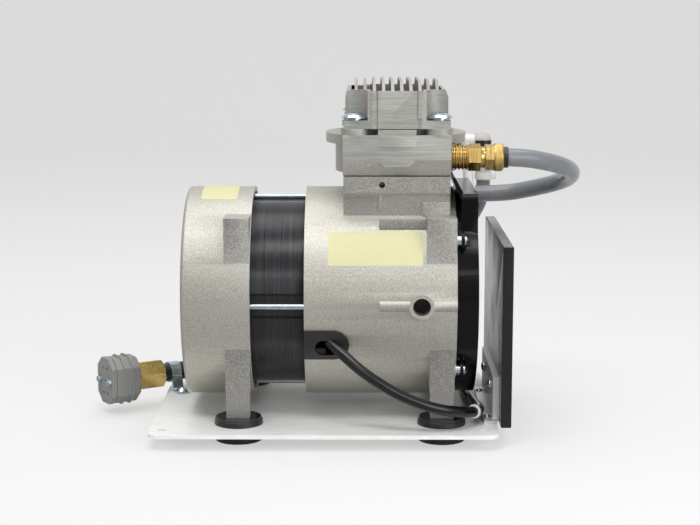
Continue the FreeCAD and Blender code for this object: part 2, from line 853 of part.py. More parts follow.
def make_rod_bearing():
    """The needle ring between the journal and the rod's big end."""
    left = cylinder_x - rod_bearing_width / 2
    return tube_x(rod_bearing_radius, journal_radius + running_gap, left, left + rod_bearing_width, 0, pin_z)


def make_connecting_rod():
    """The one-piece rod: big end, waisted neck with a web, and the round piston flange."""
    half = rod_thickness / 2
    flange_top = crown_z - cap_thickness - cup_thickness
    flange_low_z = flange_top - piston_flange_thickness
    big_end = rod_x(big_end_radius, cylinder_x - half, cylinder_x + half, 0, pin_z)
    foot = rod_foot_width / 2
    waist = rod_neck_width / 2
    waist_z = pin_z + big_end_radius + 22
    outline = [
        V(cylinder_x - half, -foot, pin_z),
        V(cylinder_x - half, -foot, pin_z + big_end_radius - 4),
        V(cylinder_x - half, -waist, waist_z),
        V(cylinder_x - half, -waist, flange_low_z + 1),
        V(cylinder_x - half, waist, flange_low_z + 1),
        V(cylinder_x - half, waist, waist_z),
        V(cylinder_x - half, foot, pin_z + big_end_radius - 4),
        V(cylinder_x - half, foot, pin_z),
    ]
    neck = prism(outline, V(rod_thickness, 0, 0))
    flange = rod_z(piston_radius - 1, flange_low_z, flange_top, cylinder_x, 0)
    cone = Part.makeCone(waist, waist + 7, 7, V(cylinder_x, 0, flange_low_z - 7), V(0, 0, 1))
    rod = fused([big_end, neck, flange, cone])
    pocket_low = pin_z + big_end_radius + 5
    pocket_high = flange_low_z - 10
    tools = [rod_x(rod_bearing_radius + 0.02, 0, 120, 0, pin_z)]
    for x0, x1 in ((cylinder_x - half - 1, cylinder_x - rod_web / 2), (cylinder_x + rod_web / 2, cylinder_x + half + 1)):
        tools.append(box(x0, x1, -waist + 3.2, waist - 3.2, pocket_low, pocket_high))
    tools.append(rod_z(2.6, flange_low_z - 8, flange_top + 1, cylinder_x, 0))
    return cut_all(rod, tools)


def make_piston_cup():
    """The thin cup seal that lies on the flange, its lip turned up."""
    low = crown_z - cap_thickness - cup_thickness
    top = low + cup_thickness
    profile = [
        (low, 2.6),
        (low, piston_radius - 1),
        (low + 0.6, piston_radius - 0.3),
        (top + cup_lip_height, piston_radius),
        (top + cup_lip_height, piston_radius - 0.9),
        (top, piston_radius - 1.5),
        (top, 2.6),
    ]
    return turned(profile, V(cylinder_x, 0, 0), V(0, 0, 1))


def make_piston_cap():
    """The disc that clamps the cup to the rod."""
    cap = rod_z(piston_radius - 2.2, crown_z - cap_thickness, crown_z, cylinder_x, 0)
    top_edge = [edge for edge in cap.Edges if abs(edge.BoundBox.ZMin - crown_z) < 0.01 and edge.BoundBox.ZLength < 0.01]
    cap = cap.makeChamfer(0.8, top_edge)
    sink = Part.makeCone(2.6, 5.2, 2.6, V(cylinder_x, 0, crown_z - 2.6), V(0, 0, 1))
    return cap.cut(sink).cut(rod_z(2.6, crown_z - cap_thickness - 1, crown_z, cylinder_x, 0))


def make_cap_screw():
    """The countersunk screw through the cap and the cup into the rod."""
    head = Part.makeCone(2.4, 5.0, 2.5, V(cylinder_x, 0, crown_z - 2.6), V(0, 0, 1))
    shank = rod_z(2.4, crown_z - 16, crown_z - 2.5, cylinder_x, 0)
    socket = hex_bar(1.7, V(cylinder_x, 0, crown_z - 2), V(0, 0, 1), 3)
    return fused([head, shank]).cut(socket)


def make_cylinder_gasket():
    """The thin dark sheet between the crankcase neck and the cylinder block."""
    inset = neck_inset + 0.6
    sheet = box(
        cylinder_x - half_block + inset, cylinder_x + half_block - inset,
        inset - half_depth + chamfer_depth, half_depth - inset - chamfer_depth, neck_top, block_bottom,
    )
    return sheet.cut(rod_z(bore_radius + liner_wall + 1, neck_top - 1, block_bottom + 1, cylinder_x, 0))


def make_cylinder_block():
    """The machined block with its round barrel, top flange, undercut front and side ports."""
    block = box(cylinder_x - half_block, cylinder_x + half_block, -half_depth, half_depth, block_bottom, block_top)
    barrel = rod_z(barrel_radius, block_bottom, flange_low, cylinder_x, 0)
    flange = rod_z(flange_radius, flange_low, flange_high, cylinder_x, 0)
    deep = -half_depth + chamfer_depth
    slope = [
        V(cylinder_x - half_block - 1, -half_depth - 1, block_bottom - 1),
        V(cylinder_x - half_block - 1, -half_depth - 1, chamfer_top),
        V(cylinder_x - half_block - 1, -half_depth, chamfer_top),
        V(cylinder_x - half_block - 1, deep, block_bottom),
        V(cylinder_x - half_block - 1, deep, block_bottom - 1),
    ]
    undercut = prism(slope, V(block_width + 2, 0, 0))
    tongue = prism(
        [
            V(cylinder_x - tongue_half_width, -half_depth - 2, chamfer_top + 1),
            V(cylinder_x + tongue_half_width, -half_depth - 2, chamfer_top + 1),
            V(cylinder_x + tongue_half_width, -half_depth - 2, tongue_low + 3.5),
            V(cylinder_x + tongue_foot_half_width, -half_depth - 2, tongue_low),
            V(cylinder_x - tongue_foot_half_width, -half_depth - 2, tongue_low),
            V(cylinder_x - tongue_half_width, -half_depth - 2, tongue_low + 3.5),
        ],
        V(0, chamfer_depth + 4, 0),
    )
    undercut = undercut.cut(tongue)
    whole = cut_all(fused([block, barrel, flange]), mirrored_y([undercut]))
    tools = [rod_z(bore_radius + liner_wall + liner_play, block_bottom - 1, block_top + 1, cylinder_x, 0)]
    face_x = cylinder_x + half_block
    tools.append(rod_x(fitting_hex + 0.6, face_x, face_x + 20, front_port_y, front_port_z))
    port_radius = fitting_thread_radius - 1.1 + bolt_clearance
    tools.append(rod_x(port_radius, face_x - port_depth - 1, face_x + 1, front_port_y, front_port_z))
    tools.append(rod_y(pipe_radius + bolt_clearance, half_depth - port_depth - 1, half_depth + 1, rear_port_x, rear_port_z))
    for x, y in head_screw_places():
        tools.append(rod_z(head_screw_radius + bolt_clearance, block_top - 16, block_top + 1, x, y))
    return cut_all(whole, tools)


def make_cylinder_liner():
    """The thin hard tube that the piston works in."""
    outer = rod_z(bore_radius + liner_wall, block_bottom, block_top, cylinder_x, 0)
    return outer.cut(rod_z(bore_radius, block_bottom - 1, block_top + 1, cylinder_x, 0))


def head_screw_places():
    """The four corners where the head is screwed down."""
    return [(cylinder_x + sx * screw_x, sy * screw_y) for sx in (-1, 1) for sy in (-1, 1)]


def make_valve_plate():
    """The plate under the head, with a tongue front and back, a pad at each screw and valve holes."""
    centre = box(
        cylinder_x - face_half_width, cylinder_x + face_half_width, -half_depth, half_depth, block_top, plate_top_z
    )
    field = box(
        cylinder_x - head_half_width, cylinder_x + head_half_width, -screw_y + 6, screw_y - 6, block_top, plate_top_z
    )
    pads = [rod_z(screw_pad_radius, block_top, head_bottom, x, y) for x, y in head_screw_places()]
    plate = fused([centre, field] + pads)
    tools = [rod_z(head_screw_radius + bolt_clearance, block_top - 1, head_bottom + 1, x, y) for x, y in head_screw_places()]
    for side in (-1, 1):
        for y in (4.0, 12.0):
            tools.append(rod_z(valve_hole_radius, block_top - 1, plate_top_z + 1, cylinder_x + side * reed_offset, y))
    return cut_all(plate, tools)


def reed_strip(side, low):
    """One spring steel leaf with a rounded free end."""
    x = cylinder_x + side * reed_offset
    half = reed_width / 2
    tip_y = reed_root_y + reed_length - half
    strip = box(x - half, x + half, reed_root_y, tip_y, low, low + reed_thickness)
    return strip.fuse(rod_z(half, low, low + reed_thickness, x, tip_y)).removeSplitter()


def reed_clamp(side, low, high):
    """The bar that holds the root of a leaf."""
    x = cylinder_x + side * reed_offset
    return box(x - reed_width / 2, x + reed_width / 2, reed_root_y - 5.6, reed_root_y - 0.1, low, high)


def make_head_gasket():
    """The thin sheet between the valve plate and the head, open over both chambers."""
    inset = 0.5
    sheet = box(
        cylinder_x - head_half_width + inset, cylinder_x + head_half_width - inset,
        -screw_y + 6 + inset, screw_y - 6 - inset, plate_top_z, head_bottom,
    )
    pads = [rod_z(screw_pad_radius + 0.3, plate_top_z - 1, head_bottom + 1, x, y) for x, y in head_screw_places()]
    return cut_all(sheet, head_chambers(plate_top_z - 1, head_bottom + 1) + pads)


def head_chambers(low, high):
    """The two closed spaces in the head, one above each leaf valve."""
    chambers = []
    for side in (-1, 1):
        near = 2.5
        far = 27.0
        x0, x1 = sorted((cylinder_x + side * near, cylinder_x + side * far))
        chambers.append(box(x0, x1, -30, 30, low, high))
    return chambers


def fin_places():
    """The middle of each cooling fin, from left to right."""
    first = cylinder_x - fin_pitch * (fin_count - 1) / 2
    return [first + fin_pitch * step for step in range(fin_count)]


def make_fin(x, half_length):
    """One tapered fin along Y, sloped down at both ends."""
    base_z = head_bottom + valley_floor - 0.5
    tip_z = head_top + fin_height
    slope_z = head_top
    section = [
        V(x - fin_thickness / 2, -half_length, base_z),
        V(x + fin_thickness / 2, -half_length, base_z),
        V(x + fin_tip_thickness / 2, -half_length, tip_z),
        V(x - fin_tip_thickness / 2, -half_length, tip_z),
    ]
    fin = prism(section, V(0, 2 * half_length, 0))
    near = half_length - fin_slope_length
    side_view = [
        V(x - 5, -half_length, base_z - 1),
        V(x - 5, -half_length, slope_z),
        V(x - 5, -near, tip_z),
        V(x - 5, near, tip_z),
        V(x - 5, half_length, slope_z),
        V(x - 5, half_length, base_z - 1),
    ]
    return fin.common(prism(side_view, V(10, 0, 0)))


def make_cylinder_head():
    """The finned head: a flange with screw pockets, a machined face front and back, and ten fins."""
    flange_top = head_bottom + head_flange_thickness
    flange = box(
        cylinder_x - head_flange_half_width, cylinder_x + head_flange_half_width,
        flange_setback - half_depth, half_depth - flange_setback, head_bottom, flange_top,
    )
    core = prism(
        [
            V(cylinder_x - head_half_width, -head_half_depth, head_bottom),
            V(cylinder_x + head_half_width, -head_half_depth, head_bottom),
            V(cylinder_x + head_half_width, -head_half_depth, head_top - 3 * side_slope),
            V(cylinder_x + head_half_width - side_slope, -head_half_depth, head_top),
            V(cylinder_x - head_half_width + side_slope, -head_half_depth, head_top),
            V(cylinder_x - head_half_width, -head_half_depth, head_top - 3 * side_slope),
        ],
        V(0, 2 * head_half_depth, 0),
    )
    pockets = [rod_z(screw_pocket_radius, flange_top, head_top + 5, x, y) for x, y in head_screw_places()]
    core = cut_all(core, pockets)
    recess = 1.2
    centre = box(
        cylinder_x - centre_half_width + 1, cylinder_x + centre_half_width - 1,
        -half_depth + recess, half_depth - recess, head_bottom, head_top,
    )
    face = box(cylinder_x - face_half_width, cylinder_x + face_half_width, -half_depth, half_depth, head_bottom, head_top)
    columns = []
    for side in (-1, 1):
        for end in (-1, 1):
            x = cylinder_x + side * (centre_half_width - column_radius)
            y = end * (half_depth - column_radius - column_setback)
            columns.append(rod_z(column_radius, head_bottom, head_top, x, y))
    body = fused([flange, core, centre, face] + columns)
    wall = half_depth - valley_wall
    low = head_bottom + head_height - valley_floor
    tools = [box(cylinder_x - centre_fin_limit, cylinder_x + centre_fin_limit, -wall, wall, low, head_top + 1)]
    for side in (-1, 1):
        x0, x1 = sorted((cylinder_x + side * (centre_fin_limit - 1), cylinder_x + side * (head_half_width - side_slope - valley_wall)))
        reach = outer_fin_half_depth - valley_wall
        tools.append(box(x0, x1, -reach, reach, low, head_top + 1))
    tools += head_chambers(head_bottom - 1, head_bottom + 12)
    tools += [rod_z(head_screw_radius + bolt_clearance, head_bottom - 1, flange_top + 1, x, y) for x, y in head_screw_places()]
    body = cut_all(body, tools)
    fins = []
    for x in fin_places():
        inner = abs(x - cylinder_x) < centre_fin_limit
        fins.append(make_fin(x, half_depth if inner else outer_fin_half_depth))
    return fused([body] + fins)


def make_head_screw(x, y):
    """A domed flange-head screw."""
    seat = head_bottom + head_flange_thickness + lock_washer_thickness
    profile = [
        (seat, 0),
        (seat, head_screw_dome),
        (seat + 0.9, head_screw_dome),
        (seat + 2.4, head_screw_dome * 0.82),
        (seat + 3.7, head_screw_dome * 0.55),
        (seat + head_screw_dome_height, head_screw_dome * 0.2),
        (seat + head_screw_dome_height, 0),
    ]
    dome = turned(profile, V(x, y, 0), V(0, 0, 1))
    shank = rod_z(head_screw_radius, seat - head_screw_reach, seat + 1, x, y)
    screw = fused([dome, shank])
    slot = box(x - 3.6, x + 3.6, y - 0.7, y + 0.7, seat + 2.2, seat + 8)
    cross = box(x - 0.7, x + 0.7, y - 3.6, y + 3.6, seat + 2.2, seat + 8)
    return screw.cut(slot).cut(cross)


def make_lock_washer(x, y):
    """The split washer under a head screw."""
    low = head_bottom + head_flange_thickness
    ring = rod_z(lock_washer_radius, low, low + lock_washer_thickness, x, y)
    ring = ring.cut(rod_z(head_screw_radius + bolt_clearance, low - 1, low + 5, x, y))
    return ring.cut(box(x + 2, x + 8, y - 0.5, y + 0.5, low - 1, low + 5))


def make_fitting_body():
    """The brass body: a thread into the block, a hexagon and a seat for the hose."""
    face_x = cylinder_x + half_block
    root = fitting_thread_radius - 1.1
    pitch = fitting_thread_length / fitting_thread_turns
    profile = [(face_x - port_depth, 0), (face_x - port_depth, root)]
    profile.append((face_x, root))
    for turn in range(fitting_thread_turns):
        x = face_x + turn * pitch
        profile.append((x + 0.15 * pitch, root))
        profile.append((x + 0.4 * pitch, fitting_thread_radius))
        profile.append((x + 0.6 * pitch, fitting_thread_radius))
        profile.append((x + 0.85 * pitch, root))
    hex_left = face_x + fitting_thread_length
    hex_right = hex_left + fitting_hex_length
    profile += [(hex_left, root), (hex_left, 8.6), (hex_right, 8.6), (hex_right + 0.6, 8.2)]
    neck_right = hex_right + fitting_neck_length
    profile += [(neck_right, 8.2), (neck_right, 0)]
    body = turned(profile, V(0, front_port_y, front_port_z), V(1, 0, 0))
    grip = hex_bar(fitting_hex, V(hex_left, front_port_y, front_port_z), V(1, 0, 0), fitting_hex_length, 18)
    bore = rod_x(4.2, face_x - port_depth - 1, neck_right + 1, front_port_y, front_port_z)
    return fused([body, grip]).cut(bore)


def fitting_nut_left():
    """Where the nut begins, at the end of the fitting's neck."""
    return cylinder_x + half_block + fitting_thread_length + fitting_hex_length + fitting_neck_length


def make_fitting_nut():
    """The brass nut: a hexagon, a groove and a knurled collar round the hose."""
    left = fitting_nut_left() + 0.05
    hexagon = hex_bar(fitting_hex, V(left, front_port_y, front_port_z), V(1, 0, 0), nut_hex_length, 4)
    collar_left = left + nut_hex_length
    collar = rod_x(nut_knurl_radius, collar_left, collar_left + nut_knurl_length, front_port_y, front_port_z)
    end_edges = [edge for edge in collar.Edges if abs(edge.BoundBox.XMin - collar_left - nut_knurl_length) < 0.01]
    collar = collar.makeChamfer(0.8, end_edges)
    nut = fused([hexagon, collar])
    return nut.cut(rod_x(hose_radius + hose_play, left - 1, left + 40, front_port_y, front_port_z))


def make_fitting_sleeve():
    """The black push-in ring where the hose enters the nut."""
    left = fitting_nut_left() + 0.05 + nut_hex_length + nut_knurl_length
    return tube_x(hose_radius + 1.1, hose_radius + hose_play, left, left + sleeve_length, front_port_y, front_port_z)


def crossover_points():
    """The grey hose: straight out of the front fitting, round in a wide loop and into the tee's foot."""
    return [
        V(fitting_nut_left() + hose_seat, front_port_y, front_port_z),
        V(151.0, front_port_y, front_port_z),
        V(171.0, -27.0, 200.6),
        V(188.0, -11.0, 195.0),
        V(197.0, 10.0, 188.0),
        V(197.0, 34.0, 181.0),
        V(188.0, 56.0, 174.0),
        V(171.0, 74.0, 167.6),
        V(149.0, hose_end_y, hose_end_z),
        V(tee_x + tee_body_radius + 0.1, hose_end_y, hose_end_z),
    ]


def make_rear_pipe():
    """The brass pipe from the block's rear port: back, then round to the right."""
    start_y = half_depth - port_depth
    left = tee_x - tee_body_half_length
    back = rod_y(pipe_radius, start_y, rear_line_y, rear_port_x, rear_port_z)
    across = rod_x(pipe_radius, rear_port_x, left, rear_line_y, rear_port_z)
    corner = Part.makeSphere(pipe_radius + 1.2, V(rear_port_x, rear_line_y, rear_port_z))
    collar = rod_x(pipe_radius + 1.2, rear_port_x, rear_port_x + 9, rear_line_y, rear_port_z)
    collar_back = rod_y(pipe_radius + 1.2, rear_line_y - 9, rear_line_y, rear_port_x, rear_port_z)
    hexagon = hex_bar(pipe_radius + 2.4, V(left - 8, rear_line_y, rear_port_z), V(1, 0, 0), 8, 10)
    base_hex = hex_bar(pipe_radius + 2.6, V(rear_port_x, half_depth + 0.2, rear_port_z), V(0, 1, 0), 6, 10)
    return fused([back, across, corner, collar, collar_back, hexagon, base_hex])


def make_hose_tee():
    """The white tee: its body on the brass pipe, a leg down and a foot that turns into the hose."""
    left = tee_x - tee_body_half_length
    right = tee_x + tee_body_half_length
    body = rod_x(tee_body_radius, left, right, rear_line_y, rear_port_z)
    top = V(tee_x, rear_line_y, rear_port_z)
    bottom = V(tee_x, hose_end_y, hose_end_z)
    leg = rod_along(tee_radius, top, bottom - top, (bottom - top).Length)
    knee = Part.makeSphere(tee_body_radius, bottom)
    foot = rod_x(tee_body_radius, tee_x, tee_x + tee_body_radius, hose_end_y, hose_end_z)
    return fused([body, leg, knee, foot])


def make_port_elbow():
    """The elbow at the end of the rear line, turned down to the transfer hose."""
    left = tee_x + tee_body_half_length
    across = rod_x(elbow_radius, left, elbow_x, rear_line_y, rear_port_z)
    knee = Part.makeSphere(elbow_radius, V(elbow_x, rear_line_y, rear_port_z))
    down = rod_z(elbow_radius, elbow_foot_z, rear_port_z, elbow_x, rear_line_y)
    return fused([across, knee, down])


def make_elbow_collar():
    """The white release ring round the transfer hose at the foot of the elbow."""
    ring = rod_z(collar_radius, elbow_foot_z - collar_height, elbow_foot_z, elbow_x, rear_line_y)
    lower = [edge for edge in ring.Edges if abs(edge.BoundBox.ZMax - elbow_foot_z + collar_height) < 0.01]
    ring = ring.makeChamfer(1.0, lower)
    half = collar_tab_half_width
    tab = box(
        elbow_x + collar_radius - 2, elbow_x + collar_tab_reach, rear_line_y - half, rear_line_y + half,
        elbow_foot_z - collar_height + 0.6, elbow_foot_z,
    )
    return fused([ring, tab])


def transfer_points():
    """The transfer hose: down behind the pump, along the back of the motor and round to the left end."""
    return [
        V(elbow_x, rear_line_y, elbow_foot_z - collar_height),
        V(elbow_x, rear_line_y, 157.0),
        V(123.0, 116.0, 136.0),
        V(104.0, 117.0, 108.0),
        V(82.0, 112.0, 82.0),
        V(58.0, 105.0, 58.0),
        V(30.0, 99.0, 38.0),
        V(-2.0, 97.0, 24.0),
        V(-38.0, 97.0, 18.6),
        V(-74.0, 91.0, vent_axis_z),
        coupler_back - vent_dir * 26.0,
        coupler_back + vent_dir * 12.0,
    ]


def make_coupler():
    """The black rubber sleeve that joins the transfer hose to the brass adapter."""
    outer = rod_along(coupler_radius, coupler_back, vent_dir, coupler_length)
    return outer.cut(rod_along(transfer_radius + coupler_bore_play, coupler_back - vent_dir, vent_dir, 13.4))


def make_adapter():
    """The brass hexagon that carries the silencer."""
    hexagon = hex_bar(adapter_hex, vent_start + vent_dir * 0.05, vent_dir, adapter_length - 0.1, 12)
    limit = turned(
        [(0, 0), (0, adapter_hex - 1.6), (1.6, adapter_hex), (adapter_length - 1.2, adapter_hex),
         (adapter_length, adapter_hex - 1.2), (adapter_length, 0)],
        vent_start, vent_dir,
    )
    body = hexagon.common(limit)
    return body.cut(rod_along(adapter_bore, vent_start, vent_dir, adapter_length + 1))


def silencer_slice(low, high, grow):
    """One slice of the silencer: a tall octagon, larger or smaller all round by the given amount."""
    start = vent_start + vent_dir * (adapter_length + low)
    side = vent_dir.cross(V(0, 0, 1))
    wide = silencer_half_across + grow
    tall = silencer_half_up + grow
    near = silencer_corner_across + grow / 2
    high_corner = silencer_corner_up + grow / 2
    outline = [
        (near, tall), (wide, high_corner), (wide, -high_corner), (near, -tall),
        (-near, -tall), (-wide, -high_corner), (-wide, high_corner), (-near, tall),
    ]
    return prism([start + side * across + V(0, 0, up) for across, up in outline], vent_dir * (high - low))


def make_silencer():
    """The vented plastic body: a tall octagon with two thin ribs all round and an end plate."""
    start = vent_start + vent_dir * adapter_length
    side = vent_dir.cross(V(0, 0, 1))
    body = fused([
        silencer_slice(0.0, 1.6, -1.4),
        silencer_slice(1.6, 7.0, 0),
        silencer_slice(7.0, 8.6, silencer_rib),
        silencer_slice(8.6, 14.0, 0),
        silencer_slice(14.0, 15.6, silencer_rib),
        silencer_slice(15.6, 21.4, 0),
        silencer_slice(21.4, 22.2, -0.8),
        silencer_slice(22.2, silencer_length, 0.3),
    ])
    end = start + vent_dir * (silencer_length - 8)
    holes = []
    for across, up in silencer_hole_places():
        holes.append(rod_along(silencer_hole_radius, end + side * across + V(0, 0, up), vent_dir, 12))
    for across in (-silencer_screw_offset, silencer_screw_offset):
        holes.append(rod_along(1.7, end + side * across, vent_dir, 12))
    return cut_all(body, holes)


def silencer_hole_places():
    """Vent holes: one in the middle and two pairs above and below it."""
    return [(0, 0), (-3.6, 10.5), (3.6, 10.5), (-3.6, -10.5), (3.6, -10.5)]


def make_silencer_screws():
    """The two pan-head screws that hold the silencer's slices together."""
    end = vent_start + vent_dir * (adapter_length + silencer_length)
    side = vent_dir.cross(V(0, 0, 1))
    screws = []
    for across in (-silencer_screw_offset, silencer_screw_offset):
        base = end + side * across
        head = turned([(0.02, 0), (0.02, 3.3), (1.5, 3.1), (2.8, 2.2), (3.2, 0)], base, vent_dir)
        shank = rod_along(1.6, base - vent_dir * 7, vent_dir, 7.5)
        screws.append(fused([head, shank]))
    return screws


def clip_side():
    """The level direction from the coupler to the clip's screw."""
    return V(-vent_dir.y, vent_dir.x, 0)


def clip_centre():
    """The middle of the clip's band on the coupler."""
    return vent_start - vent_dir * clip_from_start


def clip_screw_place():
    """The clip's screw hole in the base plate."""
    return clip_centre() + clip_side() * clip_screw_reach


def make_hose_clip():
    """The steel clip: a band round the coupler, a sloped web and a tab screwed to the plate."""
    centre = clip_centre()
    base = centre + vent_dir * (clip_width / 2)
    back = vent_dir * -1.0
    band = rod_along(coupler_radius + clip_band + 0.1, base, back, clip_width)
    band = band.cut(rod_along(coupler_radius + 0.1, base + vent_dir, back, clip_width + 2))
    side = clip_side()
    z_tab = plate_thickness
    outer = coupler_radius + clip_band
    shape = [
        base + side * (outer - 1.0) + V(0, 0, -3.0),
        base + side * (outer + 0.3) + V(0, 0, -3.0),
        base + side * 11.0 + V(0, 0, z_tab + clip_tab_thickness - vent_axis_z),
        base + side * (clip_screw_reach + 6.0) + V(0, 0, z_tab + clip_tab_thickness - vent_axis_z),
        base + side * (clip_screw_reach + 6.0) + V(0, 0, z_tab - vent_axis_z),
        base + side * 10.0 + V(0, 0, z_tab - vent_axis_z),
    ]
    web = prism(shape, back * clip_width)
    place = clip_screw_place()
    hole = rod_z(panel_screw_radius + bolt_clearance, plate_thickness - 1, plate_thickness + 6, place.x, place.y)
    clip = fused([band, web]).cut(hole)
    return clip.cut(rod_along(coupler_radius + 0.1, base + vent_dir, back, clip_width + 2))


def make_plate_screw(x, y, seat, dome_radius):
    """A domed screw down through the base plate."""
    profile = [(0, 0), (0, dome_radius), (0.8, dome_radius), (0.42 * dome_radius, 0.77 * dome_radius)]
    profile += [(0.65 * dome_radius, 0.31 * dome_radius), (0.69 * dome_radius, 0)]
    dome = turned(profile, V(x, y, seat), V(0, 0, 1))
    shank = rod_z(panel_screw_radius, -2.5, seat + 0.5, x, y)
    return fused([dome, shank])


def foot_screw_places():
    """The two screws through the bracket's foot leg."""
    x = panel_left - bracket_thickness - foot_leg_width / 2
    return [(x, bracket_back - foot_screw_inset), (x, bracket_front + foot_screw_inset)]


def make_panel_bracket():
    """The aluminium bracket: an upright against the panel and a foot leg along the base plate."""
    left = panel_left - bracket_thickness
    top = plate_thickness + bracket_height
    upright = box(left, panel_left, bracket_front, bracket_back, plate_thickness, top)
    corner = [
        edge for edge in upright.Edges
        if abs(edge.tangentAt(0).x) > 0.9 and abs(edge.BoundBox.YMin - bracket_front) < 0.1
        and abs(edge.BoundBox.ZMin - plate_thickness) < 0.1
    ]
    upright = upright.makeFillet(bracket_corner, corner)
    foot = box(
        left - foot_leg_width, panel_left - 1, bracket_front, bracket_back,
        plate_thickness, plate_thickness + foot_leg_thickness,
    )
    bracket = fused([upright, foot])
    tools = []
    for x, y in foot_screw_places():
        tools.append(rod_z(panel_screw_radius + bolt_clearance, 0, plate_thickness + 10, x, y))
    for y in panel_screw_y:
        tools.append(rod_x(panel_screw_radius + bolt_clearance, left - 1, panel_left + 1, y, panel_screw_z))
    return cut_all(bracket, tools)


def make_side_panel():
    """The thick dark panel with softened edges."""
    panel = box(panel_left, panel_left + panel_thickness, panel_front, panel_back, panel_low, panel_high)
    panel = panel.makeFillet(0.8, panel.Edges)
    for y in panel_screw_y:
        panel = panel.cut(rod_x(panel_screw_radius + bolt_clearance, panel_left - 1, panel_left + 6.5, y, panel_screw_z))
    return panel


def make_panel_screw(y):
    """A pan-head screw through the bracket into the panel."""
    left = panel_left - bracket_thickness
    profile = [(0, 0), (0, panel_screw_head), (-1.2, panel_screw_head), (-2.4, panel_screw_head * 0.6), (-2.7, 0)]
    head = turned(profile, V(left, y, panel_screw_z), V(1, 0, 0))
    shank = rod_x(panel_screw_radius, left - 0.5, panel_left + 6, y, panel_screw_z)
    return fused([head, shank])


def cowl_screw_places():
    """Y and Z of the four screws that hold the cowl."""
    return [(sy * cowl_ear_y, axis_z + sz * cowl_ear_z) for sy in (-1, 1) for sz in (-1, 1)]


def make_fan_cowl():
    """The black cowl: a ring with a grille, four ears, and a duct that leads air up to the cylinder."""
    ring = tube_x(cowl_radius, cowl_radius - cowl_wall, cowl_left, cowl_right, 0, axis_z)
    duct_low = axis_z + 50
    duct = box(tower_left, cowl_right, -tower_half_width, tower_half_width, duct_low, tower_top)
    upper_edges = [
        edge for edge in duct.Edges
        if abs(edge.tangentAt(0).x) > 0.9 and abs(edge.BoundBox.ZMin - tower_top) < 0.1
    ]
    duct = duct.makeFillet(4.0, upper_edges)
    guide = prism(
        [
            V(tower_left + cowl_wall, -tower_half_width + 8, tower_top - 6),
            V(tower_left + cowl_wall, -tower_half_width + 8, tower_top),
            V(guide_left + cowl_wall, -tower_half_width + 8, guide_top),
            V(guide_left, -tower_half_width + 8, guide_top),
            V(guide_left, -tower_half_width + 8, guide_top - 2),
            V(tower_left, -tower_half_width + 8, tower_top - 6),
        ],
        V(0, 2 * tower_half_width - 16, 0),
    )
    hollow = box(
        tower_left + cowl_wall, cowl_right - cowl_wall,
        -tower_half_width + cowl_wall, tower_half_width - cowl_wall, duct_low - 1, tower_top - cowl_wall,
    )
    mouth = box(tower_left - 1, tower_left + 3, -tower_half_width + 6, tower_half_width - 6, duct_low - 1, tower_top - 6)
    core = rod_x(cowl_radius - cowl_wall, cowl_left - 1, cowl_right + 1, 0, axis_z)
    duct = cut_all(duct, [hollow, mouth, core])
    ears = []
    for y, z in cowl_screw_places():
        ear_left = case_right + 3.0
        ears.append(rod_x(cowl_ear_radius, ear_left, ear_left + 2.4, y, z))
    ears = [ear.cut(core) for ear in ears]
    pieces = [ring, duct, guide] + ears
    for radius in grille_rings:
        pieces.append(tube_x(radius + grille_bar / 2, radius - grille_bar / 2, cowl_right - grille_depth, cowl_right, 0, axis_z))
    for step in range(4):
        bar_half = cowl_radius - cowl_wall / 2
        bar = box(cowl_right - grille_depth, cowl_right, -bar_half, bar_half, axis_z - grille_bar / 2, axis_z + grille_bar / 2)
        bar.rotate(V(0, 0, axis_z), V(1, 0, 0), 45 * step + 22.5)
        pieces.append(bar)
    cowl = fused(pieces)
    tools = [rod_x(cowl_screw_radius + bolt_clearance, case_right, case_right + 9, y, z) for y, z in cowl_screw_places()]
    return cut_all(cowl, tools)


def make_cowl_spacer(y, z):
    """The short steel spacer between the crankcase pad and the cowl's ear."""
    return tube_x(spacer_radius, cowl_screw_radius + bolt_clearance, case_right, case_right + 3.0, y, z)


def make_cowl_screw(y, z):
    """A pan-head screw through the cowl's ear and its spacer."""
    seat = case_right + 3.0 + 2.4
    profile = [(0, 0), (0, cowl_screw_head), (1.2, cowl_screw_head), (2.4, cowl_screw_head * 0.6), (2.7, 0)]
    head = turned(profile, V(seat, y, z), V(1, 0, 0))
    shank = rod_x(cowl_screw_radius, case_right - 8, seat + 0.5, y, z)
    return fused([head, shank])


def make_fan():
    """The moulded axial fan: a hub and pitched blades with rounded tips."""
    right = fan_left + fan_hub_length
    hub = rod_x(fan_hub_radius, fan_left, right, 0, axis_z)
    blades = []
    middle = fan_left + fan_hub_length / 2
    for step in range(fan_blades):
        half = fan_chord / 2
        thick = fan_blade_thickness / 2
        blade = box(middle - thick, middle + thick, -half, half, axis_z + 10, axis_z + fan_radius)
        tips = [
            edge for edge in blade.Edges
            if abs(edge.tangentAt(0).x) > 0.9 and abs(edge.BoundBox.ZMin - axis_z - fan_radius) < 0.1
        ]
        blade = blade.makeFillet(8.0, tips)
        blade.rotate(V(middle, 0, axis_z), V(0, 0, 1), fan_pitch_angle)
        blade.rotate(V(0, 0, axis_z), V(1, 0, 0), 360.0 * step / fan_blades)
        blades.append(blade)
    return fused([hub] + blades).cut(rod_x(5.02, fan_left - 1, right + 1, 0, axis_z))


def make_fan_clip():
    """The spring clip that keeps the fan on the shaft."""
    left = fan_left + fan_hub_length + 0.05
    ring = tube_x(7.4, 4.35, left, left + clip_thickness - 0.1, 0, axis_z)
    return ring.cut(box(left - 1, left + 3, -1.6, 1.6, axis_z, axis_z + 10))


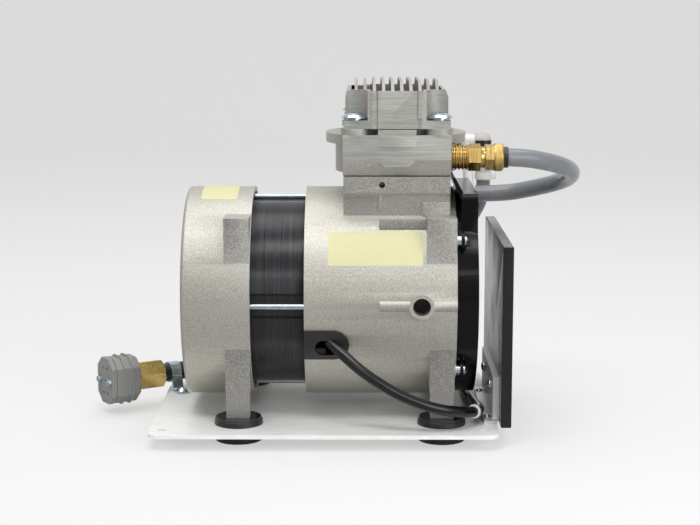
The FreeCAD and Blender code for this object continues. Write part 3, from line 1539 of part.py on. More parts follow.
def build():
    """Writes every node."""
    os.makedirs("parts", exist_ok=True)
    places = leg_places()
    save("base_plate", make_base_plate())
    save("rubber_isolators", [make_isolator(x, y) for x, y in places])
    save("isolator_washers", [washer for x, y in places for washer in make_isolator_washers(x, y)])
    save("isolator_bolts", [make_isolator_bolt(x, y) for x, y in places])
    save("end_bell", make_end_bell())
    save("stator_core", make_stator_core())
    save("stator_coils", [make_coil_end(stack_left, -1), make_coil_end(stack_right, 1)])
    save("through_bolts", [make_through_bolt(angle) for angle in bolt_angles()])
    save("crankcase", make_crankcase())
    save("rear_bearing", make_bearing(rear_bearing_x))
    save("front_bearing", make_bearing(front_bearing_x))
    save("rotor_core", make_rotor_core())
    save("motor_shaft", make_shaft())
    save("eccentric", make_eccentric())
    save("eccentric_screw", make_eccentric_screw())
    save("rod_bearing", make_rod_bearing())
    save("connecting_rod", make_connecting_rod())
    save("piston_cup", make_piston_cup())
    save("piston_cap", make_piston_cap())
    save("piston_cap_screw", make_cap_screw())
    save("cylinder_gasket", make_cylinder_gasket())
    save("cylinder_block", make_cylinder_block())
    save("cylinder_liner", make_cylinder_liner())
    save("valve_plate", make_valve_plate())
    save("intake_reed", reed_strip(-1, block_top - reed_gap - reed_thickness))
    save("exhaust_reed", reed_strip(1, plate_top_z + reed_gap))
    save("reed_clamps", [reed_clamp(-1, block_top - 2.4, block_top), reed_clamp(1, plate_top_z, plate_top_z + 2.4)])
    save("head_gasket", make_head_gasket())
    save("cylinder_head", make_cylinder_head())
    save("head_screws", [make_head_screw(x, y) for x, y in head_screw_places()])
    save("head_lock_washers", [make_lock_washer(x, y) for x, y in head_screw_places()])
    save("hose_fitting_body", make_fitting_body())
    save("hose_fitting_nut", make_fitting_nut())
    save("hose_fitting_sleeve", make_fitting_sleeve())
    save("crossover_hose", smooth_route("crossover hose", crossover_points(), hose_radius))
    save("rear_pipe", make_rear_pipe())
    save("hose_tee", make_hose_tee())
    save("port_elbow", make_port_elbow())
    save("elbow_collar", make_elbow_collar())
    save("transfer_hose", smooth_route("transfer hose", transfer_points(), transfer_radius))
    save("hose_coupler", make_coupler())
    save("silencer_adapter", make_adapter())
    save("vent_silencer", make_silencer())
    save("silencer_screws", make_silencer_screws())
    save("hose_clip", make_hose_clip())
    clip = clip_screw_place()
    save("hose_clip_screw", make_plate_screw(clip.x, clip.y, plate_thickness + clip_tab_thickness, plate_screw_dome))
    save("power_grommet", make_grommet())
    save("power_lead", smooth_route("power lead", lead_points(), lead_radius))
    save("power_lead_coil", make_lead_coil())
    save("power_plug", make_plug())
    save("side_panel", make_side_panel())
    save("panel_bracket", make_panel_bracket())
    save("panel_screws", [make_panel_screw(y) for y in panel_screw_y])
    seat = plate_thickness + foot_leg_thickness
    save("bracket_screws", [make_plate_screw(x, y, seat, foot_screw_dome) for x, y in foot_screw_places()])
    save("fan_cowl", make_fan_cowl())
    save("cowl_spacers", [make_cowl_spacer(y, z) for y, z in cowl_screw_places()])
    save("cowl_screws", [make_cowl_screw(y, z) for y, z in cowl_screw_places()])
    save("cooling_fan", make_fan())
    save("fan_clip", make_fan_clip())


build()
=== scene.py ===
# %% [markdown]
# # A rocking piston vacuum pump, dressed for its portrait
#
# The pump's solid parts come ready made, at their real size and in metres, as a frame.
# This lesson gives them their finishes, and makes by hand what a solid modeller does badly:
# hoses and a power lead that bend under their own weight, curved paper labels, stacked
# laminations, a cable tie, a knurled nut. A cell makes one thing, and prints what it made or
# measured. Cells that only define a helper print nothing.

import bmesh
import bpy
import numpy as np
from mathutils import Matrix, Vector


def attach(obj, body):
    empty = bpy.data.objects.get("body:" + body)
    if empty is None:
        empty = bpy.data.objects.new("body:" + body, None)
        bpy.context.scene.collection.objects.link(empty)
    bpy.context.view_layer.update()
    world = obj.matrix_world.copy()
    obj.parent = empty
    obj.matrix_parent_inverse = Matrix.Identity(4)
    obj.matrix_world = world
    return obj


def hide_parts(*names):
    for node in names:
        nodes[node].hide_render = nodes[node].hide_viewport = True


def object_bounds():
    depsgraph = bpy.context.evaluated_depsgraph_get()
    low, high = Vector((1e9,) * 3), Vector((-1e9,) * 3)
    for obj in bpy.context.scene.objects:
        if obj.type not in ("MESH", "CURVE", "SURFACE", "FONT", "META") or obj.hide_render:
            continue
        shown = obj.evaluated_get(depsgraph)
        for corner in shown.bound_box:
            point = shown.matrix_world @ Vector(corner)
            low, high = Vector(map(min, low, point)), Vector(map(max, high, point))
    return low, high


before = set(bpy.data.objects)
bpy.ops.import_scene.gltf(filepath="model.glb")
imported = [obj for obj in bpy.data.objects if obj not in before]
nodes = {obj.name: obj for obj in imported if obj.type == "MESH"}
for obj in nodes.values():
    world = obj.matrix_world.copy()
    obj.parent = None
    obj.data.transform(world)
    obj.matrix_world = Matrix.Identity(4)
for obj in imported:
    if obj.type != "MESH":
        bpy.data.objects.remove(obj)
cad_low, cad_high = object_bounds()
mm = 0.001
print("nodes", len(nodes), "box", [round(v, 4) for v in cad_low], [round(v, 4) for v in cad_high])

# %% [markdown]
# ## The camera and the room
#
# The photograph was taken from a little over a metre away with a long lens, slightly above
# the shaft, and the camera stands there. The room could be a plane and a backdrop, but
# their seam draws a line behind the pump. So it is one pale sheet, a floor that curves up
# into a wall: a profile carried sideways, a function of two parameters. Most pieces below
# are such grids of points, so the helper that makes a mesh of one comes first.

# %% Camera
camera_place = (26.4 * mm, -1268.2 * mm, 323.9 * mm)
camera_pitch = 80.72
camera_yaw = 0.31
camera_lens = 82.75

camera = bpy.data.objects.new("camera", bpy.data.cameras.new("camera"))
bpy.context.scene.collection.objects.link(camera)
camera.location = camera_place
camera.rotation_euler = (np.radians(camera_pitch), 0.0, np.radians(camera_yaw))
camera.data.lens = camera_lens
camera.data.sensor_width = 36.0
camera.data.clip_start = 0.05
camera.data.clip_end = 50.0
bpy.context.scene.camera = camera
print("camera at", [round(v, 3) for v in camera.location])


# %% A mesh from a grid of points
def grid_mesh(name, points, wrap_u=False, wrap_v=False):
    """An object from an array of points (rows u, columns v); each cell of the grid is one face.

    Cell (i, j) joins points (i, j), (i+1, j), (i+1, j+1) and (i, j+1), and a wrapped
    direction joins its last row or column to its first.
    """
    rows, columns = points.shape[:2]
    index = np.arange(rows * columns).reshape(rows, columns)
    i = np.arange(rows if wrap_u else rows - 1)[:, None]
    j = np.arange(columns if wrap_v else columns - 1)[None, :]
    corners = [
        index[i, j],
        index[(i + 1) % rows, j],
        index[(i + 1) % rows, (j + 1) % columns],
        index[i, (j + 1) % columns],
    ]
    faces = np.stack([c.ravel() for c in corners], axis=1)
    mesh = bpy.data.meshes.new(name)
    mesh.vertices.add(rows * columns)
    mesh.vertices.foreach_set("co", points.reshape(-1).astype(np.float32))
    mesh.loops.add(faces.size)
    mesh.loops.foreach_set("vertex_index", faces.ravel().astype(np.int32))
    mesh.polygons.add(len(faces))
    mesh.polygons.foreach_set("loop_start", np.arange(0, faces.size, 4, dtype=np.int32))
    mesh.update(calc_edges=True)
    mesh.validate()
    thing = bpy.data.objects.new(name, mesh)
    bpy.context.scene.collection.objects.link(thing)
    return thing


def smooth(thing, angle=30.0):
    """Shades the faces as one curved surface, with edges sharper than the angle kept crisp."""
    thing.data.shade_smooth()
    thing.data.set_sharp_from_angle(angle=np.radians(angle))
    return thing


# %% The room's sizes
floor_level = cad_low.z
room_half_width = 6.0
room_front = -3.0
wall_place = 2.2
wall_bend = 0.8
wall_height = 4.0
print("wall stands", wall_place + wall_bend, "m behind the pump")

# %% The floor and wall in one sweep
turn = np.linspace(0.0, np.pi / 2, 24)
floor_y = np.concatenate([[room_front], wall_place + wall_bend * np.sin(turn), [wall_place + wall_bend]])
floor_z = np.concatenate([[0.0], wall_bend * (1 - np.cos(turn)), [wall_height]]) + floor_level
side = np.linspace(-room_half_width, room_half_width, 3)
sheet = np.stack(np.broadcast_arrays(side[None, :], floor_y[:, None], floor_z[:, None]), axis=2)
room = smooth(grid_mesh("room", sheet))
print("floor at", round(floor_level, 4))

# %% [markdown]
# ## Shared finishes
#
# Most metal here is a casting or a machined bar. Four effects come back in many finishes:
# the grain of a sandy casting, the fine lines that a cutter or a brush leaves, paler edges
# (part wear, part a painted highlight), and dust. They could be painted as pictures, but a
# picture needs an unwrapped surface and blurs from close up. Noise on the object's own
# coordinates needs no unwrapping and stays sharp. Each effect is built once as a node group
# that gives masks and heights, and each finish places it with its own scale. The shader
# itself stays in the finish.


# %% Sockets and groups
def feed(tree, socket, value):
    """Links a socket to another one, or sets it to a number or to a colour (red, green, blue)."""
    if isinstance(value, bpy.types.NodeSocket):
        tree.links.new(value, socket)
    elif isinstance(value, tuple):
        socket.default_value = (*value, 1.0)
    else:
        socket.default_value = value


def new_group(name, inputs, outputs):
    """An empty shader group: inputs (name, value), each a number or a vector, and named number outputs."""
    group = bpy.data.node_groups.new(name, "ShaderNodeTree")
    for label, value in inputs:
        kind = "NodeSocketVector" if isinstance(value, tuple) else "NodeSocketFloat"
        socket = group.interface.new_socket(name=label, in_out="INPUT", socket_type=kind)
        socket.default_value = value
    for label in outputs:
        group.interface.new_socket(name=label, in_out="OUTPUT", socket_type="NodeSocketFloat")
    return group, group.nodes.new("NodeGroupInput"), group.nodes.new("NodeGroupOutput")


def use_group(tree, group, **values):
    """Places a node group, sets its named inputs and returns its outputs."""
    node = tree.nodes.new("ShaderNodeGroup")
    node.node_tree = group
    for label, value in values.items():
        node.inputs[label].default_value = value
    return node.outputs


# %% Nodes that work on numbers
def math_node(tree, operation, first, second=None, clamp=False):
    """A Math node; each operand is a socket or a number."""
    node = tree.nodes.new("ShaderNodeMath")
    node.operation = operation
    node.use_clamp = clamp
    feed(tree, node.inputs[0], first)
    if second is not None:
        feed(tree, node.inputs[1], second)
    return node.outputs[0]


def noise(tree, vector, scale, detail=2.0, roughness=0.5):
    """A noise texture's value on a coordinate."""
    node = tree.nodes.new("ShaderNodeTexNoise")
    tree.links.new(vector, node.inputs["Vector"])
    feed(tree, node.inputs["Scale"], scale)
    node.inputs["Detail"].default_value = detail
    node.inputs["Roughness"].default_value = roughness
    return node.outputs["Fac"]


def spread(tree, value, low, high):
    """The value stretched so that low becomes 0 and high becomes 1, and held within them."""
    node = tree.nodes.new("ShaderNodeMapRange")
    node.inputs["From Min"].default_value = low
    node.inputs["From Max"].default_value = high
    tree.links.new(value, node.inputs["Value"])
    return node.outputs["Result"]


# %% Grain: the speckle of a casting
def build_grain():
    """Speckle is fine noise spread hard; patches are slow noise; height adds pits to the speckle."""
    group, given, put = new_group("grain", [("Scale", 900.0)], ["Speckle", "Patches", "Height"])
    place = group.nodes.new("ShaderNodeTexCoord").outputs["Object"]
    coarse_share, patch_scale = 0.42, 22.0
    speckle_height, pit_height = 0.6, 0.4
    fine = noise(group, place, given.outputs["Scale"], 3.0, 0.65)
    coarse = noise(group, place, math_node(group, "MULTIPLY", given.outputs["Scale"], coarse_share))
    slow = noise(group, place, patch_scale, 3.0)
    speckle = spread(group, fine, 0.34, 0.68)
    pits = spread(group, coarse, 0.30, 0.70)
    height = math_node(
        group, "ADD",
        math_node(group, "MULTIPLY", speckle, speckle_height),
        math_node(group, "MULTIPLY", pits, pit_height),
    )
    group.links.new(speckle, put.inputs["Speckle"])
    group.links.new(spread(group, slow, 0.3, 0.7), put.inputs["Patches"])
    group.links.new(height, put.inputs["Height"])
    return group


grain_group = build_grain()
print("group", grain_group.name)


# %% Tool lines: what a cutter or a brush leaves
def build_lines():
    """Lines are noise on a coordinate stretched along an axis; scuffs are broader, sparser ones."""
    group, given, put = new_group("tool_lines", [("Stretch", (1.0, 1.0, 1.0))], ["Lines", "Scuffs", "Height"])
    stretched = group.nodes.new("ShaderNodeVectorMath")
    stretched.operation = "MULTIPLY"
    group.links.new(group.nodes.new("ShaderNodeTexCoord").outputs["Object"], stretched.inputs[0])
    group.links.new(given.outputs["Stretch"], stretched.inputs[1])
    fine_scale, broad_scale = 1.0, 0.23
    fine = noise(group, stretched.outputs[0], fine_scale, 3.0, 0.6)
    broad = noise(group, stretched.outputs[0], broad_scale)
    group.links.new(spread(group, fine, 0.3, 0.7), put.inputs["Lines"])
    group.links.new(spread(group, broad, 0.42, 0.66), put.inputs["Scuffs"])
    group.links.new(fine, put.inputs["Height"])
    return group


lines_group = build_lines()
print("group", lines_group.name)


# %% Edges: where a coating thins and metal shows, and where light would catch (painted highlight)
def build_edges():
    """The rounded normal differs from the true one only near an edge: edge = 1 - their dot product."""
    group, given, put = new_group("edges", [("Width", 0.0008)], ["Edge"])
    rounded = group.nodes.new("ShaderNodeBevel")
    rounded.samples = 4
    group.links.new(given.outputs["Width"], rounded.inputs["Radius"])
    true = group.nodes.new("ShaderNodeNewGeometry")
    dot = group.nodes.new("ShaderNodeVectorMath")
    dot.operation = "DOT_PRODUCT"
    group.links.new(rounded.outputs[0], dot.inputs[0])
    group.links.new(true.outputs["Normal"], dot.inputs[1])
    apart = math_node(group, "SUBTRACT", 1.0, dot.outputs["Value"], clamp=True)
    group.links.new(spread(group, apart, 0.01, 0.16), put.inputs["Edge"])
    return group


edges_group = build_edges()
print("group", edges_group.name)


# %% Colours and numbers between two
def mix_colours(tree, mask, dark, light):
    """A colour between two, by a mask; each colour is red, green, blue or a socket."""
    node = tree.nodes.new("ShaderNodeMix")
    node.data_type = "RGBA"
    tree.links.new(mask, node.inputs["Factor"])
    colour_a, colour_b, colour_out = 6, 7, 2
    feed(tree, node.inputs[colour_a], dark)
    feed(tree, node.inputs[colour_b], light)
    return node.outputs[colour_out]


def mix_numbers(tree, mask, low, high):
    """A number between two, by a mask."""
    step = math_node(tree, "MULTIPLY", mask, high - low)
    return math_node(tree, "ADD", step, low)


# %% The start and the end of every finish
def finish_start(name, metallic, roughness, specular=0.5, coat=0.0):
    """A material with one Principled shader, whose fixed numbers sit on its own sockets."""
    material = bpy.data.materials.new(name)
    material.use_nodes = True
    tree = material.node_tree
    shader = tree.nodes["Principled BSDF"]
    shader.inputs["Metallic"].default_value = metallic
    shader.inputs["Roughness"].default_value = roughness
    shader.inputs["Specular IOR Level"].default_value = specular
    shader.inputs["Coat Weight"].default_value = coat
    shader.inputs["Coat Roughness"].default_value = 0.12
    return material, tree, shader


# Paler edges stand for wear and also paint the highlight that light would put on a rounded edge.
def wear_and_highlight_edges(tree, colour, edge, width, share):
    """The colour with another one at the edges: over a width in metres, and by a share."""
    mask = use_group(tree, edges_group, Width=width)["Edge"]
    return mix_colours(tree, math_node(tree, "MULTIPLY", mask, share), colour, edge)


def finish_end(tree, shader, colour, roughness, height, relief):
    """Links colour and roughness to the shader, and raises the surface by a height up to the relief in metres."""
    tree.links.new(colour, shader.inputs["Base Color"])
    tree.links.new(roughness, shader.inputs["Roughness"])
    bump = tree.nodes.new("ShaderNodeBump")
    bump.inputs["Distance"].default_value = relief
    bump.inputs["Strength"].default_value = 1.0
    tree.links.new(height, bump.inputs["Height"])
    tree.links.new(bump.outputs[0], shader.inputs["Normal"])


# %% [markdown]
# ## The castings
#
# The two motor shells wear a warm grey coating full of metal flake, so they sparkle a
# little and look like sand from close up. Edges are paler, partly knocked and partly a painted
# highlight. The flat pads and legs are rougher than the round shell and carry painted shade:
# a darker colour for upright faces that overhead light leaves dimmer. The head and the
# cylinder block are bare castings, a little lighter, and their machined faces carry level
# cutter lines. Each face could have its own material, but a face's own normal already says
# which faces a cutter has passed over, so one material asks the normal.


# %% Where a point lies and which way its face is turned
def object_place(tree):
    """The point in the object's own coordinates, in metres, as outputs X, Y and Z."""
    parts = tree.nodes.new("ShaderNodeSeparateXYZ")
    tree.links.new(tree.nodes.new("ShaderNodeTexCoord").outputs["Object"], parts.inputs[0])
    return parts.outputs


def true_normal(tree):
    """The face's own normal, as outputs X, Y and Z."""
    parts = tree.nodes.new("ShaderNodeSeparateXYZ")
    tree.links.new(tree.nodes.new("ShaderNodeNewGeometry").outputs["True Normal"], parts.inputs[0])
    return parts.outputs


def facing_y(tree, low, high):
    """A mask of the faces turned along Y: the size of the normal's Y, spread from low to high."""
    return spread(tree, math_node(tree, "ABSOLUTE", true_normal(tree)["Y"]), low, high)


# %% The coating of the shells
def cast_finish(name, dark, light, edge, scale, metallic, roughness, relief, flats, inside):
    """Grain drives colour, roughness and relief; edges are paler (wear and painted highlight), and
    flat faces along Y are rougher and darker (painted shade).

    The flats are the pads, legs and neck: faces turned along Y that lie no further from the
    shaft's plane than the distance inside, where the round shell isn't yet so upright.
    """
    patch_share, flat_fade, flat_extra_roughness = 0.12, 0.0005, 0.08
    material, tree, shader = finish_start(name, metallic, roughness[0])
    grain = use_group(tree, grain_group, Scale=scale)
    colour = mix_colours(tree, grain["Speckle"], dark, light)
    patchy = mix_colours(tree, math_node(tree, "MULTIPLY", grain["Patches"], patch_share), colour, light)
    # Paler edges: part knocked coating, part a painted highlight.
    worn_and_lit = wear_and_highlight_edges(tree, patchy, edge, width=0.0006, share=0.6)
    # Painted shade: flat upright faces near the shaft's plane take a darker colour, for the dimmer light that
    # lamps overhead give them; they are also rougher.
    away = math_node(tree, "ABSOLUTE", object_place(tree)["Y"])
    near = math_node(tree, "SUBTRACT", 1.0, spread(tree, away, inside, inside + flat_fade))
    flat = math_node(tree, "MULTIPLY", facing_y(tree, low=0.985, high=0.995), near)
    darker_tone = mix_colours(tree, grain["Speckle"], *flats)
    rough = mix_numbers(tree, grain["Speckle"], *roughness)
    rougher = math_node(tree, "ADD", rough, math_node(tree, "MULTIPLY", flat, flat_extra_roughness))
    finish_end(tree, shader, mix_colours(tree, flat, worn_and_lit, darker_tone), rougher, grain["Height"], relief)
    return material


shell_grey = cast_finish(
    "shell_grey", dark=(0.32, 0.310, 0.276), light=(0.62, 0.602, 0.540), edge=(0.72, 0.70, 0.64),
    scale=1250.0, metallic=0.72, roughness=(0.40, 0.55), relief=0.00010,
    flats=((0.22, 0.212, 0.198), (0.50, 0.485, 0.455)), inside=0.0795,
)
print("coating", shell_grey.name)


# %% Bare castings with milled faces
def milled_cast_finish(name, cast, milled, edge, metallic, roughness):
    """Cast grain all over, but faces turned along Y are milled: level cutter lines and dark spots."""
    spot_share, line_height = 0.35, 0.6
    material, tree, shader = finish_start(name, metallic, roughness[0])
    grain = use_group(tree, grain_group, Scale=900.0)
    lines = use_group(tree, lines_group, Stretch=(45.0, 45.0, 1900.0))
    facing = facing_y(tree, low=0.90, high=0.97)
    rough_cast = mix_colours(tree, grain["Speckle"], *cast)
    cut_face = mix_colours(tree, lines["Lines"], *milled)
    spots = math_node(tree, "MULTIPLY", lines["Scuffs"], spot_share)
    spotted = mix_colours(tree, spots, cut_face, milled[0])
    # Paler edges: part wear, part a painted highlight.
    worn_and_lit = wear_and_highlight_edges(tree, mix_colours(tree, facing, rough_cast, spotted), edge, width=0.0005, share=0.5)
    height = math_node(
        tree, "ADD",
        math_node(tree, "MULTIPLY", grain["Height"], math_node(tree, "SUBTRACT", 1.0, facing)),
        math_node(tree, "MULTIPLY", lines["Height"], math_node(tree, "MULTIPLY", facing, line_height)),
    )
    blend = mix_colours(tree, facing, grain["Speckle"], lines["Lines"])
    finish_end(tree, shader, worn_and_lit, mix_numbers(tree, blend, *roughness), height, relief=0.00010)
    return material


head_cast = milled_cast_finish(
    "head_cast", cast=((0.30, 0.28, 0.26), (0.50, 0.475, 0.445)),
    milled=((0.27, 0.275, 0.25), (0.46, 0.465, 0.435)), edge=(0.62, 0.59, 0.55),
    metallic=0.45, roughness=(0.47, 0.62),
)
block_face = milled_cast_finish(
    "block_face", cast=((0.34, 0.33, 0.31), (0.52, 0.51, 0.48)),
    milled=((0.33, 0.335, 0.31), (0.54, 0.545, 0.51)), edge=(0.64, 0.63, 0.60),
    metallic=0.55, roughness=(0.40, 0.56),
)
print("castings", head_cast.name, block_face.name)

# %% [markdown]
# ## Sheet, bar and plated metal
#
# The base plate is pale aluminium sheet, brushed along its length. The bracket is bare
# sheet too, a step darker. Screws and bolts are bright zinc with a cold blue cast. The
# fittings are turned brass, whose lines run round the bar, and the adapter is plain brass.
# An anisotropic shader would draw such lines as gloss alone. Here they are noise stretched
# along one axis, so that they tint the metal and catch the light as well.


# %% Lined metal
def machined_finish(name, dark, light, stretch, metallic, roughness, relief, scuffs=0.25):
    """Stretched lines drive colour, roughness and relief, with a few duller scuffs."""
    material, tree, shader = finish_start(name, metallic, roughness[0])
    lines = use_group(tree, lines_group, Stretch=stretch)
    colour = mix_colours(tree, lines["Lines"], dark, light)
    darker_tone = mix_colours(tree, math_node(tree, "MULTIPLY", lines["Scuffs"], scuffs), colour, dark)
    # Paler edges: part wear, part a painted highlight.
    worn_and_lit = wear_and_highlight_edges(tree, darker_tone, light, width=0.0004, share=0.5)
    finish_end(tree, shader, worn_and_lit, mix_numbers(tree, lines["Lines"], *roughness), lines["Height"], relief)
    return material


plate_sheet = machined_finish(
    "plate_sheet", dark=(0.83, 0.83, 0.815), light=(0.95, 0.95, 0.935), stretch=(70.0, 420.0, 420.0),
    metallic=0.15, roughness=(0.36, 0.52), relief=0.00003,
)
bracket_sheet = machined_finish(
    "bracket_sheet", dark=(0.60, 0.61, 0.61), light=(0.80, 0.81, 0.81), stretch=(300.0, 60.0, 1500.0),
    metallic=0.7, roughness=(0.28, 0.42), relief=0.00003,
)
print("sheet", plate_sheet.name, bracket_sheet.name)

# %% Plating, brass and steel
bright_zinc = machined_finish(
    "bright_zinc", dark=(0.42, 0.50, 0.56), light=(0.58, 0.65, 0.70), stretch=(160.0, 160.0, 160.0),
    metallic=0.95, roughness=(0.16, 0.24), relief=0.000006,
)
turned_brass = machined_finish(
    "turned_brass", dark=(0.45, 0.290, 0.085), light=(0.64, 0.455, 0.175), stretch=(1500.0, 30.0, 30.0),
    metallic=0.97, roughness=(0.20, 0.32), relief=0.00002, scuffs=0.10,
)
drawn_brass = machined_finish(
    "drawn_brass", dark=(0.66, 0.465, 0.165), light=(0.74, 0.54, 0.205), stretch=(260.0, 260.0, 260.0),
    metallic=0.92, roughness=(0.24, 0.30), relief=0.0000005, scuffs=0.02,
)
ground_steel = machined_finish(
    "ground_steel", dark=(0.42, 0.43, 0.45), light=(0.66, 0.67, 0.70), stretch=(1600.0, 50.0, 50.0),
    metallic=0.95, roughness=(0.2, 0.36), relief=0.00003,
)
print("metals", bright_zinc.name, turned_brass.name, drawn_brass.name, ground_steel.name)

# %% [markdown]
# ## Plastics, rubber and paper
#
# Black is never only black: the cowl is a satin moulding, the side panel a coarser
# sheet that dust has greyed, the rubber dull, the lead's sheath smooth. The hose is a
# grey tube with a wet shine. The elbow shows three plastics, one above the other. The two
# labels are bare paper, a warm pale yellow. All but the elbow share one builder: they
# differ only in their numbers, not in how they were made.


# %% Dust: what settles on upturned faces
def build_dust():
    """Dust grows as the true normal turns up, from 0.45 to 0.95, and noise breaks it."""
    group, given, put = new_group("dust", [("Amount", 0.5)], ["Dust"])
    upturned = spread(group, true_normal(group)["Z"], 0.45, 0.95)
    place = group.nodes.new("ShaderNodeTexCoord").outputs["Object"]
    broken = spread(group, noise(group, place, 130.0, 4.0, 0.7), 0.30, 0.62)
    settled = math_node(group, "MULTIPLY", upturned, broken)
    group.links.new(math_node(group, "MULTIPLY", settled, given.outputs["Amount"]), put.inputs["Dust"])
    return group


dust_group = build_dust()
print("group", dust_group.name)


# %% Moulded things
def moulded_finish(
    name, dark, light, scale, roughness, relief=0.00001, specular=0.5, coat=0.0, dust=0.0,
    dust_colour=(0.30, 0.27, 0.24),
):
    """Soft grain drives a little colour, roughness and relief; dust may lie on top."""
    half, paler_gain, paler_lift = 0.5, 1.7, 0.01
    material, tree, shader = finish_start(name, 0.0, roughness[0], specular, coat)
    grain = use_group(tree, grain_group, Scale=scale)
    half_speckle = math_node(tree, "MULTIPLY", grain["Speckle"], half)
    half_patches = math_node(tree, "MULTIPLY", grain["Patches"], half)
    colour = mix_colours(tree, math_node(tree, "ADD", half_speckle, half_patches), dark, light)
    paler = tuple(paler_gain * c + paler_lift for c in light)
    # Paler rims: part wear, part a painted highlight.
    seen = wear_and_highlight_edges(tree, colour, paler, width=0.0005, share=0.35)
    if dust > 0.0:
        settled = use_group(tree, dust_group, Amount=dust)
        seen = mix_colours(tree, settled["Dust"], seen, dust_colour)
    finish_end(tree, shader, seen, mix_numbers(tree, grain["Patches"], *roughness), grain["Height"], relief)
    return material


# %% Black plastics and rubber
moulded_finish(
    "cowl_black", dark=(0.003, 0.003, 0.004), light=(0.006, 0.006, 0.007),
    scale=900.0, roughness=(0.12, 0.20), specular=0.16, dust=0.03,
)
moulded_finish(
    "panel_black", dark=(0.005, 0.005, 0.006), light=(0.018, 0.018, 0.019),
    scale=1300.0, roughness=(0.16, 0.28), relief=0.00002,
    specular=0.34, dust=0.60, dust_colour=(0.26, 0.225, 0.19),
)
moulded_finish(
    "rubber_black", dark=(0.008, 0.008, 0.008), light=(0.020, 0.020, 0.020),
    scale=700.0, roughness=(0.30, 0.44), relief=0.00002, dust=0.10,
)
sheath_black = moulded_finish(
    "sheath_black", dark=(0.004, 0.004, 0.004), light=(0.008, 0.008, 0.008),
    scale=300.0, roughness=(0.14, 0.22),
)
print("sheath", sheath_black.name)

# %% The hose and its white fittings
hose_grey = moulded_finish(
    "hose_grey", dark=(0.165, 0.176, 0.188), light=(0.205, 0.216, 0.228),
    scale=60.0, roughness=(0.22, 0.32), relief=0.000008, coat=0.25,
)
moulded_finish(
    "white_moulding", dark=(0.66, 0.66, 0.64), light=(0.76, 0.76, 0.74),
    scale=400.0, roughness=(0.30, 0.42), relief=0.00002,
)
print("hose", hose_grey.name)


# %% The elbow's bands
def banded_finish(name, bands, scale, roughness):
    """Level bands of plastic: each is a colour and the height of its upper end in metres."""
    material, tree, shader = finish_start(name, 0.0, roughness[0])
    grain = use_group(tree, grain_group, Scale=scale)
    height = object_place(tree)["Z"]
    half_blur = 0.0001
    colour = bands[0][0]
    for (_, level), (above, _) in zip(bands, bands[1:]):
        colour = mix_colours(tree, spread(tree, height, level - half_blur, level + half_blur), colour, above)
    finish_end(tree, shader, colour, mix_numbers(tree, grain["Patches"], *roughness), grain["Height"], 0.00002)
    return material


elbow_moulding = banded_finish(
    "elbow_moulding",
    bands=(((0.50, 0.50, 0.485), 0.1885), ((0.012, 0.011, 0.011), 0.2060), ((0.46, 0.415, 0.375), None)),
    scale=450.0, roughness=(0.30, 0.44),
)
print("elbow", elbow_moulding.name)

# %% The silencer, paper, gaskets and washers
moulded_finish(
    "silencer_plastic", dark=(0.20, 0.20, 0.195), light=(0.29, 0.29, 0.28),
    scale=800.0, roughness=(0.36, 0.5), relief=0.00003,
)
label_paper = moulded_finish(
    "label_paper", dark=(0.60, 0.575, 0.325), light=(0.64, 0.615, 0.365),
    scale=250.0, roughness=(0.45, 0.6),
)
moulded_finish(
    "gasket_sheet", dark=(0.012, 0.012, 0.012), light=(0.03, 0.03, 0.03),
    scale=900.0, roughness=(0.6, 0.75), relief=0.00003,
)
moulded_finish(
    "seal_brown", dark=(0.12, 0.07, 0.035), light=(0.20, 0.13, 0.07),
    scale=700.0, roughness=(0.4, 0.55), relief=0.00003,
)
moulded_finish(
    "washer_black", dark=(0.008, 0.008, 0.009), light=(0.018, 0.018, 0.020),
    scale=500.0, roughness=(0.12, 0.20), specular=0.6,
)
tie_white = moulded_finish(
    "tie_white", dark=(0.66, 0.66, 0.64), light=(0.74, 0.74, 0.72),
    scale=300.0, roughness=(0.35, 0.45),
)
print("paper", label_paper.name, "tie", tie_white.name)


# %% Copper and laminations
def lamination_finish():
    """Thin sheets side by side: each takes its own tone along X, under a black varnish rubbed thin in patches."""
    material, tree, shader = finish_start("lamination_black", 0.5, 0.2)
    lines = use_group(tree, lines_group, Stretch=(2400.0, 12.0, 12.0))
    grain = use_group(tree, grain_group, Scale=260.0)
    colour = mix_colours(tree, lines["Lines"], (0.007, 0.007, 0.008), (0.045, 0.047, 0.050))
    rubbed = mix_colours(tree, math_node(tree, "MULTIPLY", grain["Patches"], 0.15), colour, (0.050, 0.050, 0.052))
    finish_end(tree, shader, rubbed, mix_numbers(tree, lines["Lines"], 0.17, 0.27), lines["Height"], 0.00002)
    return material


lamination_black = lamination_finish()
machined_finish(
    "coil_copper", dark=(0.30, 0.10, 0.03), light=(0.62, 0.27, 0.11), stretch=(200.0, 2200.0, 2200.0),
    metallic=0.8, roughness=(0.25, 0.4), relief=0.0001,
)
print("all finishes", len(bpy.data.materials))

# %% [markdown]
# ## Dress the solid parts
#
# Each node of the frame takes one finish. A line of code for each would hide what goes
# together, so a dictionary is the whole wardrobe: a finish and those that wear it.

